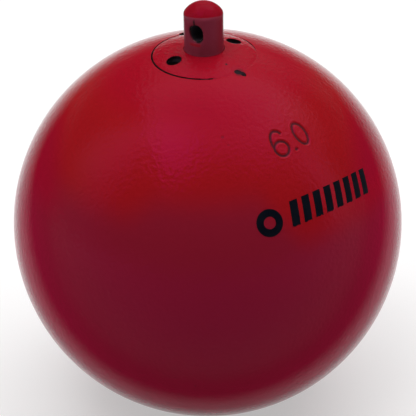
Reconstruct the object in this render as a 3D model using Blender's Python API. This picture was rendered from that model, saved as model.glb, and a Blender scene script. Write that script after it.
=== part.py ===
"""The head of a throwing hammer: an iron ball with a thrust-bearing swivel that its wire hooks into.

The origin is the ball's centre and +Z runs along the swivel, out through the spindle.
Seen from -Y with +X to the right, the holes and the spindle's eye stand as on a hammer lying eye up.
All lengths are in metres. Sizes that can be set are named here, and every other size follows from them.
"""

import math

import bmesh
import bpy
from mathutils import Matrix, Vector

# Clearances
GAP = 0.0003  # between neighbours that seat on, fit in or run in each other
TURN_ROOM = 0.0006  # around and below what spins in the open chamber
CUT_PAST = 0.002  # how far a cutter runs past the surface that it opens

# Ball
BALL_RADIUS = 0.0575
SEAM_CHAMFER = 0.00025

# Housing plug, screwed into the ball with its top domed flush
PLUG_LIP = 0.0028  # from the ball's crown down to the seal's seat
PLUG_SKIRT = 0.0006  # below the bearing
PLUG_WALL = 0.0024  # round the bearing
SPANNER_HOLE_RADIUS = 0.00215
SPANNER_HOLE_DEPTH = 0.005
SPANNER_HOLE_WALL = 0.0008  # between a spanner hole and the bush's bore
SPANNER_HOLE_ANGLE = math.radians(34)

# Lock screws, tapped half into the plug and half into the ball
LOCK_HOLE_RADIUS = 0.0022
LOCK_SCREW_LENGTH = 0.006
LOCK_KEY_RADIUS = 0.0011
LOCK_KEY_DEPTH = 0.002
FRONT_LOCK_ANGLE = math.radians(-49)
FRONT_LOCK_DEPTH = 0.0008  # of the screw's top under the ball's skin
REAR_LOCK_ANGLE = math.radians(109)
REAR_LOCK_DEPTH = 0.0035

# Spindle
SPINDLE_RADIUS = 0.0055
SPINDLE_REACH = 0.0145  # of its crown above the ball's
SPINDLE_CAP_HEIGHT = 0.0031  # of the spherical cap that ends it
SPINDLE_EDGE_ROUND = 0.0012  # where the cap meets the side
SHANK_SHOULDER = 0.0005  # by which the shank is thinner
SHANK_OVERRUN = 0.0008  # past the nut
SHANK_CHAMFER = 0.001
EYE_RADIUS = 0.00225
EYE_DROP = 0.0075  # of its centre below the spindle's top
EYE_MOUTH_ROUND = 0.0013
EYE_ANGLE = math.radians(-115)  # the way the eye looks, from +X round to +Y

# Bush, with the seal above it
BUSH_WALL = 0.0012  # also the seal's thickness
BUSH_LENGTH = 0.009
BUSH_CHAMFER = 0.0003

# Thrust bearing
BEARING_BALL_RADIUS = 0.00238
RACE_THICKNESS = 0.0032
RACE_CHAMFER = 0.0004
RACE_LAND = 0.00106  # flat beside the groove
RACE_STAND_OFF = 0.0014  # from the balls' centres to a race's flat face
CAGE_BAR = 0.0006  # least width left between two pockets
CAGE_RIM = 0.00055

# Thrust washer, castle nut and split pin
WASHER_SET_BACK = 0.00025  # of its rim inside the nut's corners
WASHER_THICKNESS = 0.0015
NUT_ACROSS_FLATS = 0.016
NUT_BODY_HEIGHT = 0.006
NUT_CROWN_HEIGHT = 0.004
NUT_CROWN_RADIUS = 0.0076
NUT_SLOT_DEPTH = 0.0037
PIN_WIRE_RADIUS = 0.0005
PIN_EYE_RADIUS = 0.0013
PIN_EYE_NECK = 0.0016
PIN_BEND_RADIUS = 0.001
PIN_LONG_LEG = 0.0032  # up the nut's flat
PIN_SHORT_LEG = 0.0012

# Filling below the swivel
FILLER_THICKNESS = 0.004
FILLER_SEAT = 0.0015
FILLER_SLOT_WIDTH = 0.0025
FILLER_SLOT_DEPTH = 0.0016
LEAD_DEPTH = 0.01
DRILL_POINT = math.radians(31)  # slope of the pocket's floor, as a twist drill leaves it

# How finely round shapes are cut
BALL_SIDES = 60
BALL_RINGS = 28
PLUG_SIDES = 48
SPINDLE_SIDES = 36
RACE_SIDES = 36
EYE_SIDES = 24
SMALL_SIDES = 20
HEXAGON_SIDES = 6
ARC_STEPS = 8
BEARING_BALL_DIVISIONS = 3
SHARP_ANGLE = math.radians(35)
MERGE_DISTANCE = 1e-7

# Radii that follow
shank_radius = SPINDLE_RADIUS - SHANK_SHOULDER
groove_radius = BEARING_BALL_RADIUS + GAP
groove_half_width = math.sqrt(groove_radius**2 - RACE_STAND_OFF**2)
race_inner = shank_radius + GAP
pitch_radius = race_inner + RACE_LAND + groove_half_width
race_outer = pitch_radius + groove_half_width + RACE_LAND
bearing_pocket = race_outer + GAP
plug_radius = bearing_pocket + PLUG_WALL
ball_bore = plug_radius + GAP
seam_radius = (plug_radius + ball_bore) / 2
plug_throat = SPINDLE_RADIUS + GAP
bush_outer = plug_throat + BUSH_WALL
bush_bore = bush_outer + GAP
seal_section_radius = BUSH_WALL / 2
spanner_circle = bush_bore + SPANNER_HOLE_WALL + SPANNER_HOLE_RADIUS
pin_leg_offset = PIN_WIRE_RADIUS + GAP / 2
pin_hole_radius = pin_leg_offset + PIN_WIRE_RADIUS + GAP
pin_bend_x = NUT_ACROSS_FLATS / 2 + GAP + PIN_WIRE_RADIUS
pin_eye_start = NUT_CROWN_RADIUS + GAP
pin_reach = pin_eye_start + PIN_EYE_NECK + PIN_EYE_RADIUS + PIN_WIRE_RADIUS
nut_corner_radius = NUT_ACROSS_FLATS / math.sqrt(3)
washer_radius = nut_corner_radius - WASHER_SET_BACK
chamber_radius = max(pin_reach, pin_bend_x + PIN_WIRE_RADIUS, nut_corner_radius) + TURN_ROOM
filler_radius = chamber_radius - GAP
lead_pocket_radius = chamber_radius - FILLER_SEAT

# Levels that follow, from the top down
spindle_top = BALL_RADIUS + SPINDLE_REACH
eye_level = spindle_top - EYE_DROP
lip_underside = BALL_RADIUS - PLUG_LIP
seal_level = lip_underside - GAP - seal_section_radius
bush_top = seal_level - seal_section_radius - GAP
pocket_ceiling = bush_top - BUSH_LENGTH
upper_race_top = pocket_ceiling - GAP
upper_race_face = upper_race_top - RACE_THICKNESS
bearing_level = upper_race_face - RACE_STAND_OFF
lower_race_face = bearing_level - RACE_STAND_OFF
lower_race_bottom = lower_race_face - RACE_THICKNESS
plug_bottom = lower_race_bottom - PLUG_SKIRT
plug_seat = plug_bottom - GAP
washer_top = lower_race_bottom - GAP
nut_top = washer_top - WASHER_THICKNESS - GAP
nut_shoulder = nut_top - NUT_BODY_HEIGHT
nut_bottom = nut_shoulder - NUT_CROWN_HEIGHT
pin_level = nut_bottom + NUT_SLOT_DEPTH - pin_hole_radius
shank_end = nut_bottom - SHANK_OVERRUN
short_leg_tip = pin_level - pin_leg_offset - PIN_BEND_RADIUS - PIN_SHORT_LEG
filler_top = min(shank_end, short_leg_tip) - TURN_ROOM
filler_bottom = filler_top - FILLER_THICKNESS
filler_seat = filler_bottom - GAP
lead_pocket_floor = filler_seat - LEAD_DEPTH - GAP

# Balls that the bearing holds
bearing_ball_count = int(2 * math.pi * pitch_radius / (2 * groove_radius + CAGE_BAR))


def clear_scene():
    for obj in list(bpy.data.objects):
        bpy.data.objects.remove(obj)


def new_material(name, colour, roughness, metallic):
    material = bpy.data.materials.new(name)
    material.use_nodes = True
    shader = material.node_tree.nodes["Principled BSDF"]
    shader.inputs["Base Color"].default_value = (*colour, 1.0)
    shader.inputs["Roughness"].default_value = roughness
    shader.inputs["Metallic"].default_value = metallic
    material.diffuse_color = (*colour, 1.0)
    return material


def new_object(name, shape, material, parent=None):
    """An object of a bmesh or a mesh, shaded smooth where it is round."""
    mesh = shape
    if isinstance(shape, bmesh.types.BMesh):
        mesh = bpy.data.meshes.new(name)
        shape.to_mesh(mesh)
        shape.free()
    mesh.shade_smooth()
    mesh.set_sharp_from_angle(angle=SHARP_ANGLE)
    if material and not mesh.materials:
        mesh.materials.append(material)
    obj = bpy.data.objects.new(name, mesh)
    bpy.context.collection.objects.link(obj)
    obj.parent = parent
    return obj


def new_axis(name):
    """An empty at the ball's centre, whose Z is the swivel's axis."""
    axis = bpy.data.objects.new(name, None)
    axis.empty_display_size = BALL_RADIUS
    bpy.context.collection.objects.link(axis)
    return axis


def arc(centre, radius, start, end, steps):
    """Points (r, z) on an arc round a centre (r, z), from one angle to another."""
    points = []
    for i in range(steps + 1):
        angle = start + (end - start) * i / steps
        points.append((centre[0] + radius * math.cos(angle), centre[1] + radius * math.sin(angle)))
    return points


def ring_profile(inner, outer, bottom, top, chamfer):
    """A rectangle (r, z) with its four corners cut at 45 degrees."""
    return [
        (inner + chamfer, bottom),
        (outer - chamfer, bottom),
        (outer, bottom + chamfer),
        (outer, top - chamfer),
        (outer - chamfer, top),
        (inner + chamfer, top),
        (inner, top - chamfer),
        (inner, bottom + chamfer),
    ]


def turned(profile, sides):
    """A profile of (r, z) points turned round Z. It closes on itself, or has both ends on the axis."""
    bm = bmesh.new()
    verts = [bm.verts.new((r, 0, z)) for r, z in profile]
    edges = [bm.edges.new(pair) for pair in zip(verts, verts[1:])]
    if profile[0][0] > 0:
        edges.append(bm.edges.new((verts[-1], verts[0])))
    bmesh.ops.spin(
        bm, geom=verts + edges, axis=(0, 0, 1), cent=(0, 0, 0), angle=2 * math.pi, steps=sides, use_merge=True
    )
    bmesh.ops.remove_doubles(bm, verts=bm.verts, dist=MERGE_DISTANCE)
    bmesh.ops.recalc_face_normals(bm, faces=bm.faces)
    return bm


def prism(radius, bottom, top, sides):
    """An upright prism or cylinder between two levels. A hexagon has its flats towards +X and -X."""
    bm = bmesh.new()
    middle = Matrix.Translation((0, 0, (bottom + top) / 2))
    bmesh.ops.create_cone(
        bm, cap_ends=True, segments=sides, radius1=radius, radius2=radius, depth=top - bottom, matrix=middle
    )
    return bm


def block(size, centre, turn=0.0):
    """A box of a size (x, y, z), turned about the swivel's axis."""
    bm = bmesh.new()
    place = Matrix.Rotation(turn, 4, "Z") @ Matrix.Translation(centre) @ Matrix.Diagonal((*size, 1))
    bmesh.ops.create_cube(bm, size=1, matrix=place)
    return bm


def combine(obj, tool, operation="DIFFERENCE"):
    """Cut, trim or grow an object with another, which stays as a guide."""
    tool.hide_render = True
    tool.display_type = "WIRE"
    modifier = obj.modifiers.new(tool.name, "BOOLEAN")
    modifier.object = tool
    modifier.operation = operation
    modifier.solver = "EXACT"


def on_circle(radius, angle):
    return radius * math.cos(angle), radius * math.sin(angle)


def skin_level(radius):
    """The height of the ball's skin at a distance from the swivel's axis."""
    return math.sqrt(BALL_RADIUS**2 - radius**2)


def lock_hole_floor(depth):
    return skin_level(seam_radius) - depth - LOCK_SCREW_LENGTH - GAP


def make_lock_hole(name, angle, depth):
    """The cutter for the hole that a lock screw shares between plug and ball."""
    hole = new_object(
        name, prism(LOCK_HOLE_RADIUS, lock_hole_floor(depth), BALL_RADIUS + CUT_PAST, SMALL_SIDES), None
    )
    hole.location = (*on_circle(seam_radius, angle), 0)
    return hole


def make_head_ball(material, parent, lock_holes):
    """The cast ball, bored from the top: plug thread, swivel chamber, lead pocket."""
    seam_angle = math.acos((ball_bore + SEAM_CHAMFER) / BALL_RADIUS)
    skin = arc((0, 0), BALL_RADIUS, -math.pi / 2, seam_angle, BALL_RINGS)
    skin[0] = (0, -BALL_RADIUS)
    point_depth = lead_pocket_radius * math.tan(DRILL_POINT)
    bore = [
        (ball_bore, skin_level(ball_bore + SEAM_CHAMFER) - SEAM_CHAMFER),
        (ball_bore, plug_seat),
        (chamber_radius, plug_seat),
        (chamber_radius, filler_seat),
        (lead_pocket_radius, filler_seat),
        (lead_pocket_radius, lead_pocket_floor),
        (0, lead_pocket_floor - point_depth),
    ]
    ball = new_object("head_ball", turned(skin + bore, BALL_SIDES), material, parent)
    for hole in lock_holes:
        combine(ball, hole)
    return ball


def make_housing_plug(material, parent, lock_holes):
    """The steel plug that closes the ball and houses seal, bush and bearing."""
    outer_angle = math.acos((plug_radius - SEAM_CHAMFER) / BALL_RADIUS)
    inner_angle = math.acos((plug_throat + SEAM_CHAMFER) / BALL_RADIUS)
    dome = arc((0, 0), BALL_RADIUS, outer_angle, inner_angle, ARC_STEPS)
    profile = [
        (plug_radius, plug_bottom),
        (plug_radius, dome[0][1] - SEAM_CHAMFER),
        *dome,
        (plug_throat, dome[-1][1] - SEAM_CHAMFER),
        (plug_throat, lip_underside),
        (bush_bore, lip_underside),
        (bush_bore, pocket_ceiling),
        (bearing_pocket, pocket_ceiling),
        (bearing_pocket, plug_bottom),
    ]
    plug = new_object("housing_plug", turned(profile, PLUG_SIDES), material, parent)
    for hole in lock_holes:
        combine(plug, hole)
    for i in range(2):
        floor = skin_level(spanner_circle) - SPANNER_HOLE_DEPTH
        hole = new_object(
            f"spanner_hole_{i + 1}",
            prism(SPANNER_HOLE_RADIUS, floor, BALL_RADIUS + CUT_PAST, SMALL_SIDES),
            None,
        )
        hole.location = (*on_circle(spanner_circle, SPANNER_HOLE_ANGLE + i * math.pi), 0)
        combine(plug, hole)
    return plug


def make_lock_screw(name, angle, depth, material, parent):
    """A headless screw with a hexagon socket, its top some way down its hole."""
    top = skin_level(seam_radius) - depth
    screw = new_object(
        name, prism(LOCK_HOLE_RADIUS - GAP, top - LOCK_SCREW_LENGTH, top, SMALL_SIDES), material, parent
    )
    socket = new_object(
        f"{name}_socket", prism(LOCK_KEY_RADIUS, top - LOCK_KEY_DEPTH, top + CUT_PAST, HEXAGON_SIDES), None
    )
    for obj in (screw, socket):
        obj.location = (*on_circle(seam_radius, angle), 0)
    combine(screw, socket)
    return screw


def spindle_crown():
    """Points (r, z) of the spindle's end, from its side round the edge and over the cap to the axis."""
    cap_radius = (SPINDLE_RADIUS**2 + SPINDLE_CAP_HEIGHT**2) / (2 * SPINDLE_CAP_HEIGHT)
    cap_centre = spindle_top - cap_radius
    edge_r = SPINDLE_RADIUS - SPINDLE_EDGE_ROUND
    edge_z = cap_centre + math.sqrt((cap_radius - SPINDLE_EDGE_ROUND) ** 2 - edge_r**2)
    meeting = math.atan2(edge_z - cap_centre, edge_r)
    edge = arc((edge_r, edge_z), SPINDLE_EDGE_ROUND, 0, meeting, ARC_STEPS // 2)
    cap = arc((0, cap_centre), cap_radius, meeting, math.pi / 2, ARC_STEPS)
    return [*edge, *cap[1:-1], (0, spindle_top)]


def eye_cutter():
    """The eye's hole, opening at both ends in a rounded mouth that meets the spindle's side."""
    mouth_radius = EYE_RADIUS + EYE_MOUTH_ROUND
    mouth_start = SPINDLE_RADIUS - EYE_MOUTH_ROUND
    flare = arc((mouth_radius, mouth_start), EYE_MOUTH_ROUND, math.pi, math.pi / 2, ARC_STEPS)
    end = SPINDLE_RADIUS + CUT_PAST
    half = [*flare, (mouth_radius, end), (0, end)]
    mirrored = [(r, -z) for r, z in reversed(half)]
    return turned(mirrored + half, EYE_SIDES)


def make_spindle(material, parent):
    """The steel spindle: a domed head with the eye for the wire, and a shank that the nut holds."""
    profile = [
        (0, shank_end),
        (shank_radius - SHANK_CHAMFER, shank_end),
        (shank_radius, shank_end + SHANK_CHAMFER),
        (shank_radius, pocket_ceiling),
        (SPINDLE_RADIUS, pocket_ceiling),
        *spindle_crown(),
    ]
    spindle = new_object("spindle", turned(profile, SPINDLE_SIDES), material, parent)
    eye = new_object("spindle_eye", eye_cutter(), None)
    eye.location = (0, 0, eye_level)
    eye.rotation_euler = Vector((*on_circle(1, EYE_ANGLE), 0)).to_track_quat("Z", "Y").to_euler()
    combine(spindle, eye)
    half_length = shank_radius + CUT_PAST
    pin_hole = new_object("pin_hole", prism(pin_hole_radius, -half_length, half_length, SMALL_SIDES), None)
    pin_hole.location = (0, 0, pin_level)
    pin_hole.rotation_euler = (0, math.pi / 2, 0)
    combine(spindle, pin_hole)
    return spindle


def make_dust_seal(material, parent):
    """The rubber ring under the plug's lip."""
    centre = (plug_throat + BUSH_WALL / 2, seal_level)
    section = arc(centre, seal_section_radius, 0, 2 * math.pi, ARC_STEPS)[:-1]
    return new_object("dust_seal", turned(section, RACE_SIDES), material, parent)


def make_bush(material, parent):
    """The bronze bush that keeps the spindle upright in the plug."""
    profile = ring_profile(plug_throat, bush_outer, pocket_ceiling, bush_top, BUSH_CHAMFER)
    return new_object("spindle_bush", turned(profile, RACE_SIDES), material, parent)


def make_race(name, face, side, material, parent):
    """A grooved bearing washer. Side is 1 where it lies above its flat face, and -1 below."""
    back = face + side * RACE_THICKNESS
    edge = math.atan2(RACE_STAND_OFF, groove_half_width)
    groove = arc((pitch_radius, bearing_level), groove_radius, edge, math.pi - edge, ARC_STEPS)
    groove = [(r, bearing_level + side * (z - bearing_level)) for r, z in groove]
    profile = [
        (race_outer, face),
        *groove,
        (race_inner, face),
        (race_inner, back - side * RACE_CHAMFER),
        (race_inner + RACE_CHAMFER, back),
        (race_outer - RACE_CHAMFER, back),
        (race_outer, back - side * RACE_CHAMFER),
    ]
    return new_object(name, turned(profile, RACE_SIDES), material, parent)


def make_cage(material, parent):
    """The flat brass ring whose pockets space the balls."""
    half_thickness = RACE_STAND_OFF - GAP
    profile = [
        (pitch_radius - groove_radius - CAGE_RIM, bearing_level - half_thickness),
        (pitch_radius + groove_radius + CAGE_RIM, bearing_level - half_thickness),
        (pitch_radius + groove_radius + CAGE_RIM, bearing_level + half_thickness),
        (pitch_radius - groove_radius - CAGE_RIM, bearing_level + half_thickness),
    ]
    cage = new_object("ball_cage", turned(profile, RACE_SIDES), material, parent)
    low = bearing_level - half_thickness - CUT_PAST
    high = bearing_level + half_thickness + CUT_PAST
    for i in range(bearing_ball_count):
        pocket = new_object(f"pocket_{i + 1}", prism(groove_radius, low, high, SMALL_SIDES), None)
        pocket.location = (*on_circle(pitch_radius, 2 * math.pi * i / bearing_ball_count), 0)
        combine(cage, pocket)
    return cage


def make_bearing_balls(material, parent):
    """Equal steel balls, each with its own X pointing outwards along its rolling axis."""
    bm = bmesh.new()
    bmesh.ops.create_icosphere(bm, subdivisions=BEARING_BALL_DIVISIONS, radius=BEARING_BALL_RADIUS)
    mesh = None
    for i in range(bearing_ball_count):
        angle = 2 * math.pi * i / bearing_ball_count
        ball = new_object(f"bearing_ball_{i + 1}", mesh or bm, material, parent)
        mesh = ball.data
        ball.location = (*on_circle(pitch_radius, angle), bearing_level)
        ball.rotation_euler = (0, 0, angle)


def make_washer(material, parent):
    profile = [
        (race_inner, washer_top - WASHER_THICKNESS),
        (washer_radius, washer_top - WASHER_THICKNESS),
        (washer_radius, washer_top),
        (race_inner, washer_top),
    ]
    return new_object("thrust_washer", turned(profile, RACE_SIDES), material, parent)


def make_castle_nut(material, parent):
    """A hexagon nut with a slotted round crown at its lower end."""
    hexagon = prism(nut_corner_radius, nut_shoulder, nut_top, HEXAGON_SIDES)
    nut = new_object("castle_nut", hexagon, material, parent)
    nut.data.shade_flat()
    # The crown reaches a little into the hexagon, so that the two join in one body.
    crown = new_object(
        "nut_crown", prism(NUT_CROWN_RADIUS, nut_bottom, nut_shoulder + GAP, RACE_SIDES), None
    )
    combine(nut, crown, "UNION")
    bore = new_object(
        "nut_bore", prism(shank_radius + GAP, nut_bottom - CUT_PAST, nut_top + CUT_PAST, RACE_SIDES), None
    )
    combine(nut, bore)
    slot_size = (2 * (NUT_CROWN_RADIUS + CUT_PAST), 2 * pin_hole_radius, 2 * NUT_SLOT_DEPTH)
    for i in range(HEXAGON_SIDES // 2):
        turn = 2 * math.pi * i / HEXAGON_SIDES
        slot = new_object(f"nut_slot_{i + 1}", block(slot_size, (0, 0, nut_bottom), turn), None)
        combine(nut, slot)
    return nut


def pin_route():
    """The folded wire of the split pin: short leg, eye and long leg, as points (x, z) from its centre."""
    offset = pin_leg_offset
    bend_start = pin_bend_x - PIN_BEND_RADIUS
    short_turn = arc((bend_start, -offset - PIN_BEND_RADIUS), PIN_BEND_RADIUS, 0, math.pi / 2, ARC_STEPS)
    long_turn = arc((bend_start, offset + PIN_BEND_RADIUS), PIN_BEND_RADIUS, -math.pi / 2, 0, ARC_STEPS)
    neck = []
    for i in range(ARC_STEPS + 1):
        share = (1 - math.cos(math.pi * i / ARC_STEPS)) / 2
        height = offset + (PIN_EYE_RADIUS - offset) * share
        neck.append((-pin_eye_start - PIN_EYE_NECK * i / ARC_STEPS, height))
    eye_centre = (-pin_eye_start - PIN_EYE_NECK, 0)
    eye = arc(eye_centre, PIN_EYE_RADIUS, -math.pi / 2, -3 * math.pi / 2, 2 * ARC_STEPS)[1:-1]
    return [
        (pin_bend_x, short_turn[0][1] - PIN_SHORT_LEG),
        *short_turn,
        *[(x, -z) for x, z in neck],
        *eye,
        *reversed(neck),
        *long_turn,
        (pin_bend_x, long_turn[-1][1] + PIN_LONG_LEG),
    ]


def make_split_pin(material, parent):
    """Wire folded double, pushed through nut and spindle, with its legs bent apart."""
    route = pin_route()
    curve = bpy.data.curves.new("split_pin", "CURVE")
    curve.dimensions = "3D"
    curve.bevel_depth = PIN_WIRE_RADIUS
    curve.bevel_resolution = 2
    curve.use_fill_caps = True
    spline = curve.splines.new("POLY")
    spline.points.add(len(route) - 1)
    for point, (x, z) in zip(spline.points, route):
        point.co = (x, 0, pin_level + z, 1)
    curve.materials.append(material)
    pin = bpy.data.objects.new("split_pin", curve)
    bpy.context.collection.objects.link(pin)
    pin.parent = parent
    return pin


def make_filler_plug(material, parent):
    """The screwed cover that keeps the lead in place, with a slot for a driver."""
    filler = new_object(
        "filler_plug", prism(filler_radius, filler_bottom, filler_top, PLUG_SIDES), material, parent
    )
    slot_size = (2 * (filler_radius + CUT_PAST), FILLER_SLOT_WIDTH, 2 * FILLER_SLOT_DEPTH)
    slot = new_object("filler_slot", block(slot_size, (0, 0, filler_top)), None)
    combine(filler, slot)
    return filler


def make_lead_filling(material, parent):
    """Lead cast into the pocket to bring the hammer up to its weight."""
    radius = lead_pocket_radius - GAP
    floor = lead_pocket_floor + GAP
    profile = [
        (0, floor - radius * math.tan(DRILL_POINT)),
        (radius, floor),
        (radius, filler_seat),
        (0, filler_seat),
    ]
    return new_object("lead_filling", turned(profile, PLUG_SIDES), material, parent)


def main():
    clear_scene()
    paint = new_material("red_paint", (0.36, 0.012, 0.035), 0.22, 0.0)
    dark_paint = new_material("spindle_paint", (0.3, 0.01, 0.03), 0.25, 0.0)
    screw_steel = new_material("blackened_steel", (0.03, 0.03, 0.032), 0.45, 1.0)
    bearing_steel = new_material("bearing_steel", (0.62, 0.62, 0.64), 0.12, 1.0)
    zinc_steel = new_material("zinc_plated_steel", (0.55, 0.55, 0.53), 0.35, 1.0)
    bronze = new_material("bronze", (0.55, 0.33, 0.14), 0.35, 1.0)
    brass = new_material("brass", (0.72, 0.53, 0.22), 0.3, 1.0)
    rubber = new_material("black_rubber", (0.015, 0.015, 0.015), 0.6, 0.0)
    lead = new_material("lead", (0.24, 0.25, 0.27), 0.6, 1.0)

    head = new_axis("head_axis")
    swivel = new_axis("swivel_axis")
    cage = new_axis("cage_axis")

    lock_holes = [
        make_lock_hole("front_lock_hole", FRONT_LOCK_ANGLE, FRONT_LOCK_DEPTH),
        make_lock_hole("rear_lock_hole", REAR_LOCK_ANGLE, REAR_LOCK_DEPTH),
    ]
    make_head_ball(paint, head, lock_holes)
    make_housing_plug(paint, head, lock_holes)
    make_lock_screw("front_lock_screw", FRONT_LOCK_ANGLE, FRONT_LOCK_DEPTH, screw_steel, head)
    make_lock_screw("rear_lock_screw", REAR_LOCK_ANGLE, REAR_LOCK_DEPTH, screw_steel, head)
    make_dust_seal(rubber, head)
    make_bush(bronze, head)
    make_race("upper_race", upper_race_face, 1, bearing_steel, head)
    make_lead_filling(lead, head)
    make_filler_plug(zinc_steel, head)

    make_spindle(dark_paint, swivel)
    make_race("lower_race", lower_race_face, -1, bearing_steel, swivel)
    make_washer(zinc_steel, swivel)
    make_castle_nut(zinc_steel, swivel)
    make_split_pin(zinc_steel, swivel)

    make_cage(brass, cage)
    make_bearing_balls(bearing_steel, cage)


main()
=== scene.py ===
# %% [markdown]
# # The head of a throwing hammer
# A cast iron ball, bored from the top and closed by a screwed plug. A steel spindle turns in the plug and
# carries the wire in its eye. Ball, plug and spindle were painted together in one red enamel.
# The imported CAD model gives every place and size. Each piece is built again here in finer mesh, because a
# render shows rounded edges, paint, threads and tool marks that a CAD solid leaves out.

# %% Load the frame
import math

import bmesh
import bpy
from mathutils import Matrix, Vector
from mathutils.geometry import delaunay_2d_cdt


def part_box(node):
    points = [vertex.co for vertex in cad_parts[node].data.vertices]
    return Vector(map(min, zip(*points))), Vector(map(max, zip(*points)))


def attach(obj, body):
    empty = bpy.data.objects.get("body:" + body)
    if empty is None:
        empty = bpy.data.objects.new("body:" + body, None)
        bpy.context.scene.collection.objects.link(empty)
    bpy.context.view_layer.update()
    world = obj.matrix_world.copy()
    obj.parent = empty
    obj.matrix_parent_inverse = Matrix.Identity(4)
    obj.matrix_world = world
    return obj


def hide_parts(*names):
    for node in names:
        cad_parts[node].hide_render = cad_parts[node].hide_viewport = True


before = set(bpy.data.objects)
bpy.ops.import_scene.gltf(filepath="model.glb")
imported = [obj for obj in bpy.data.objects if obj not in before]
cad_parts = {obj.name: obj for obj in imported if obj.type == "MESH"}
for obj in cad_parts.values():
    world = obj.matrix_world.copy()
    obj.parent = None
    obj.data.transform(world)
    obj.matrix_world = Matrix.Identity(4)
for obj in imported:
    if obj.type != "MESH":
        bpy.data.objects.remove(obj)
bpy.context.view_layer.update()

MM = 0.001

# %% [markdown]
# ## Sizes
# Sizes that a CAD node already shows are measured on it, so that the pieces keep fitting each other.
# Only what can't be read off a box, such as the width of a hole, is written down again.

# %% Sizes read off the frame
BALL_RADIUS = -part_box("head_ball")[0].z
PLUG_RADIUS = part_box("housing_plug")[1].x
PLUG_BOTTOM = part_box("housing_plug")[0].z
SPINDLE_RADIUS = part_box("spindle")[1].x
SPINDLE_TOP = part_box("spindle")[1].z
SHANK_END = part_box("spindle")[0].z
for part, radius in (("Ball", BALL_RADIUS), ("plug", PLUG_RADIUS), ("spindle", SPINDLE_RADIUS)):
    print(f"{part} {2000 * radius:.2f} mm across")

# %% Sizes written down
GAP = 0.3 * MM
BORE_RADIUS = PLUG_RADIUS + GAP
SEAM_RADIUS = PLUG_RADIUS + GAP / 2
LOCK_HOLE_RADIUS = 2.2 * MM
LOCK_ANGLES = (math.radians(-49), math.radians(109))
LOCK_SCREWS = ("front_lock_screw", "rear_lock_screw")
LOCK_FLOORS = tuple(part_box(name)[0].z - GAP for name in LOCK_SCREWS)
SPANNER_HOLE_RADIUS = 2.15 * MM
SPANNER_HOLE_DEPTH = 5 * MM
SPANNER_CIRCLE = 10.25 * MM
SPANNER_ANGLES = (math.radians(34), math.radians(214))
THROAT_RADIUS = SPINDLE_RADIUS + GAP
SEAM_ROUND = 0.17 * MM  # how far the worn edges along the seam reach aside
SEAM_WORN = 0.45 * MM  # and how deep
HOLE_ROUND = 0.11 * MM  # of the edges of the drilled holes
PLUG_CROWN = 0.75 * MM  # by which the middle of the plug's top stands above the ball's own curve
PAINT_COAT = 0.12 * MM  # of enamel on the spindle


def skin_level(radius):
    """The height of the painted top at a distance from the swivel's axis."""
    crown = PLUG_CROWN * max(0.0, 1 - (radius / PLUG_RADIUS) ** 2)
    return math.sqrt(BALL_RADIUS**2 - radius**2) + crown


def on_circle(radius, angle):
    """The point (x, y) on a circle round the swivel's axis."""
    return radius * math.cos(angle), radius * math.sin(angle)


print(f"Seam at {1000 * SEAM_RADIUS:.2f} mm, {1000 * skin_level(SEAM_RADIUS):.2f} mm up")

# %% [markdown]
# ## Making meshes
# Turned parts are a stack of rings. Knitting neighbouring rings together with quads keeps the mesh tidy,
# and a ring may leave the round path, which is how the lock holes bite into the seam. Where a surface
# has several openings, a flat triangulation fills it first and is then lifted onto the round surface.


# %% Knit rings into a skin
def knit(bm, rows):
    """Quads between neighbouring rows. Each row is a closed ring, and all have equally many points."""
    ranks = [[bm.verts.new(point) for point in row] for row in rows]
    for low, high in zip(ranks, ranks[1:]):
        pairs = list(zip(low, high))
        for (a, d), (b, c) in zip(pairs, pairs[1:] + pairs[:1]):
            bm.faces.new((a, b, c, d))
    return ranks


def close_with(bm, rank, tip):
    """A fan of triangles from a ring to one point."""
    centre = bm.verts.new(tip)
    for a, b in zip(rank, rank[1:] + rank[:1]):
        bm.faces.new((a, b, centre))


def ring(radius, level, angles, centre=(0, 0)):
    """A round row of points at a level."""
    return [(centre[0] + radius * math.cos(a), centre[1] + radius * math.sin(a), level) for a in angles]


def even_angles(count):
    """Angles once round, evenly spaced."""
    return [2 * math.pi * i / count for i in range(count)]


# %% Fill a sheet that has holes
CLEAR_OF_EDGES = 0.55  # of the spacing, so that no triangle along an edge gets too thin
SAME_POINT = 1e-9  # metres between points that the triangulation takes as one


def fill_sheet(bm, outer, holes, spacing, is_inside, lift):
    """Triangles over a flat region between an outer loop and holes, lifted onto a surface."""
    points = [Vector(p) for loop in (outer, *holes) for p in loop]
    edges = []
    start = 0
    for loop in (outer, *holes):
        count = len(loop)
        edges += [(start + i, start + (i + 1) % count) for i in range(count)]
        start += count
    low = Vector((min(p.x for p in points), min(p.y for p in points)))
    high = Vector((max(p.x for p in points), max(p.y for p in points)))
    row_step = spacing * math.sqrt(3) / 2
    for j in range(1, int((high.y - low.y) / row_step) + 1):
        for i in range(int((high.x - low.x) / spacing) + 1):
            spot = Vector((low.x + (i + 0.5 * (j % 2)) * spacing, low.y + j * row_step))
            if is_inside(spot, CLEAR_OF_EDGES * spacing):
                points.append(spot)
    flat, _, faces, _, _, _ = delaunay_2d_cdt(points, edges, [], 0, SAME_POINT)
    verts = [bm.verts.new(lift(p)) for p in flat]
    for face in faces:
        middle = sum((flat[i] for i in face), Vector((0, 0))) / len(face)
        if is_inside(middle, 0):
            bm.faces.new([verts[i] for i in face])
    for vert in verts:
        if not vert.link_faces:
            bm.verts.remove(vert)


# %% Turn a skin into an object
DOUBLES = 2e-7  # metres apart at most


def new_object(name, data):
    """An object of a mesh or a camera, linked to the scene."""
    obj = bpy.data.objects.new(name, data)
    bpy.context.scene.collection.objects.link(obj)
    return obj


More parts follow.
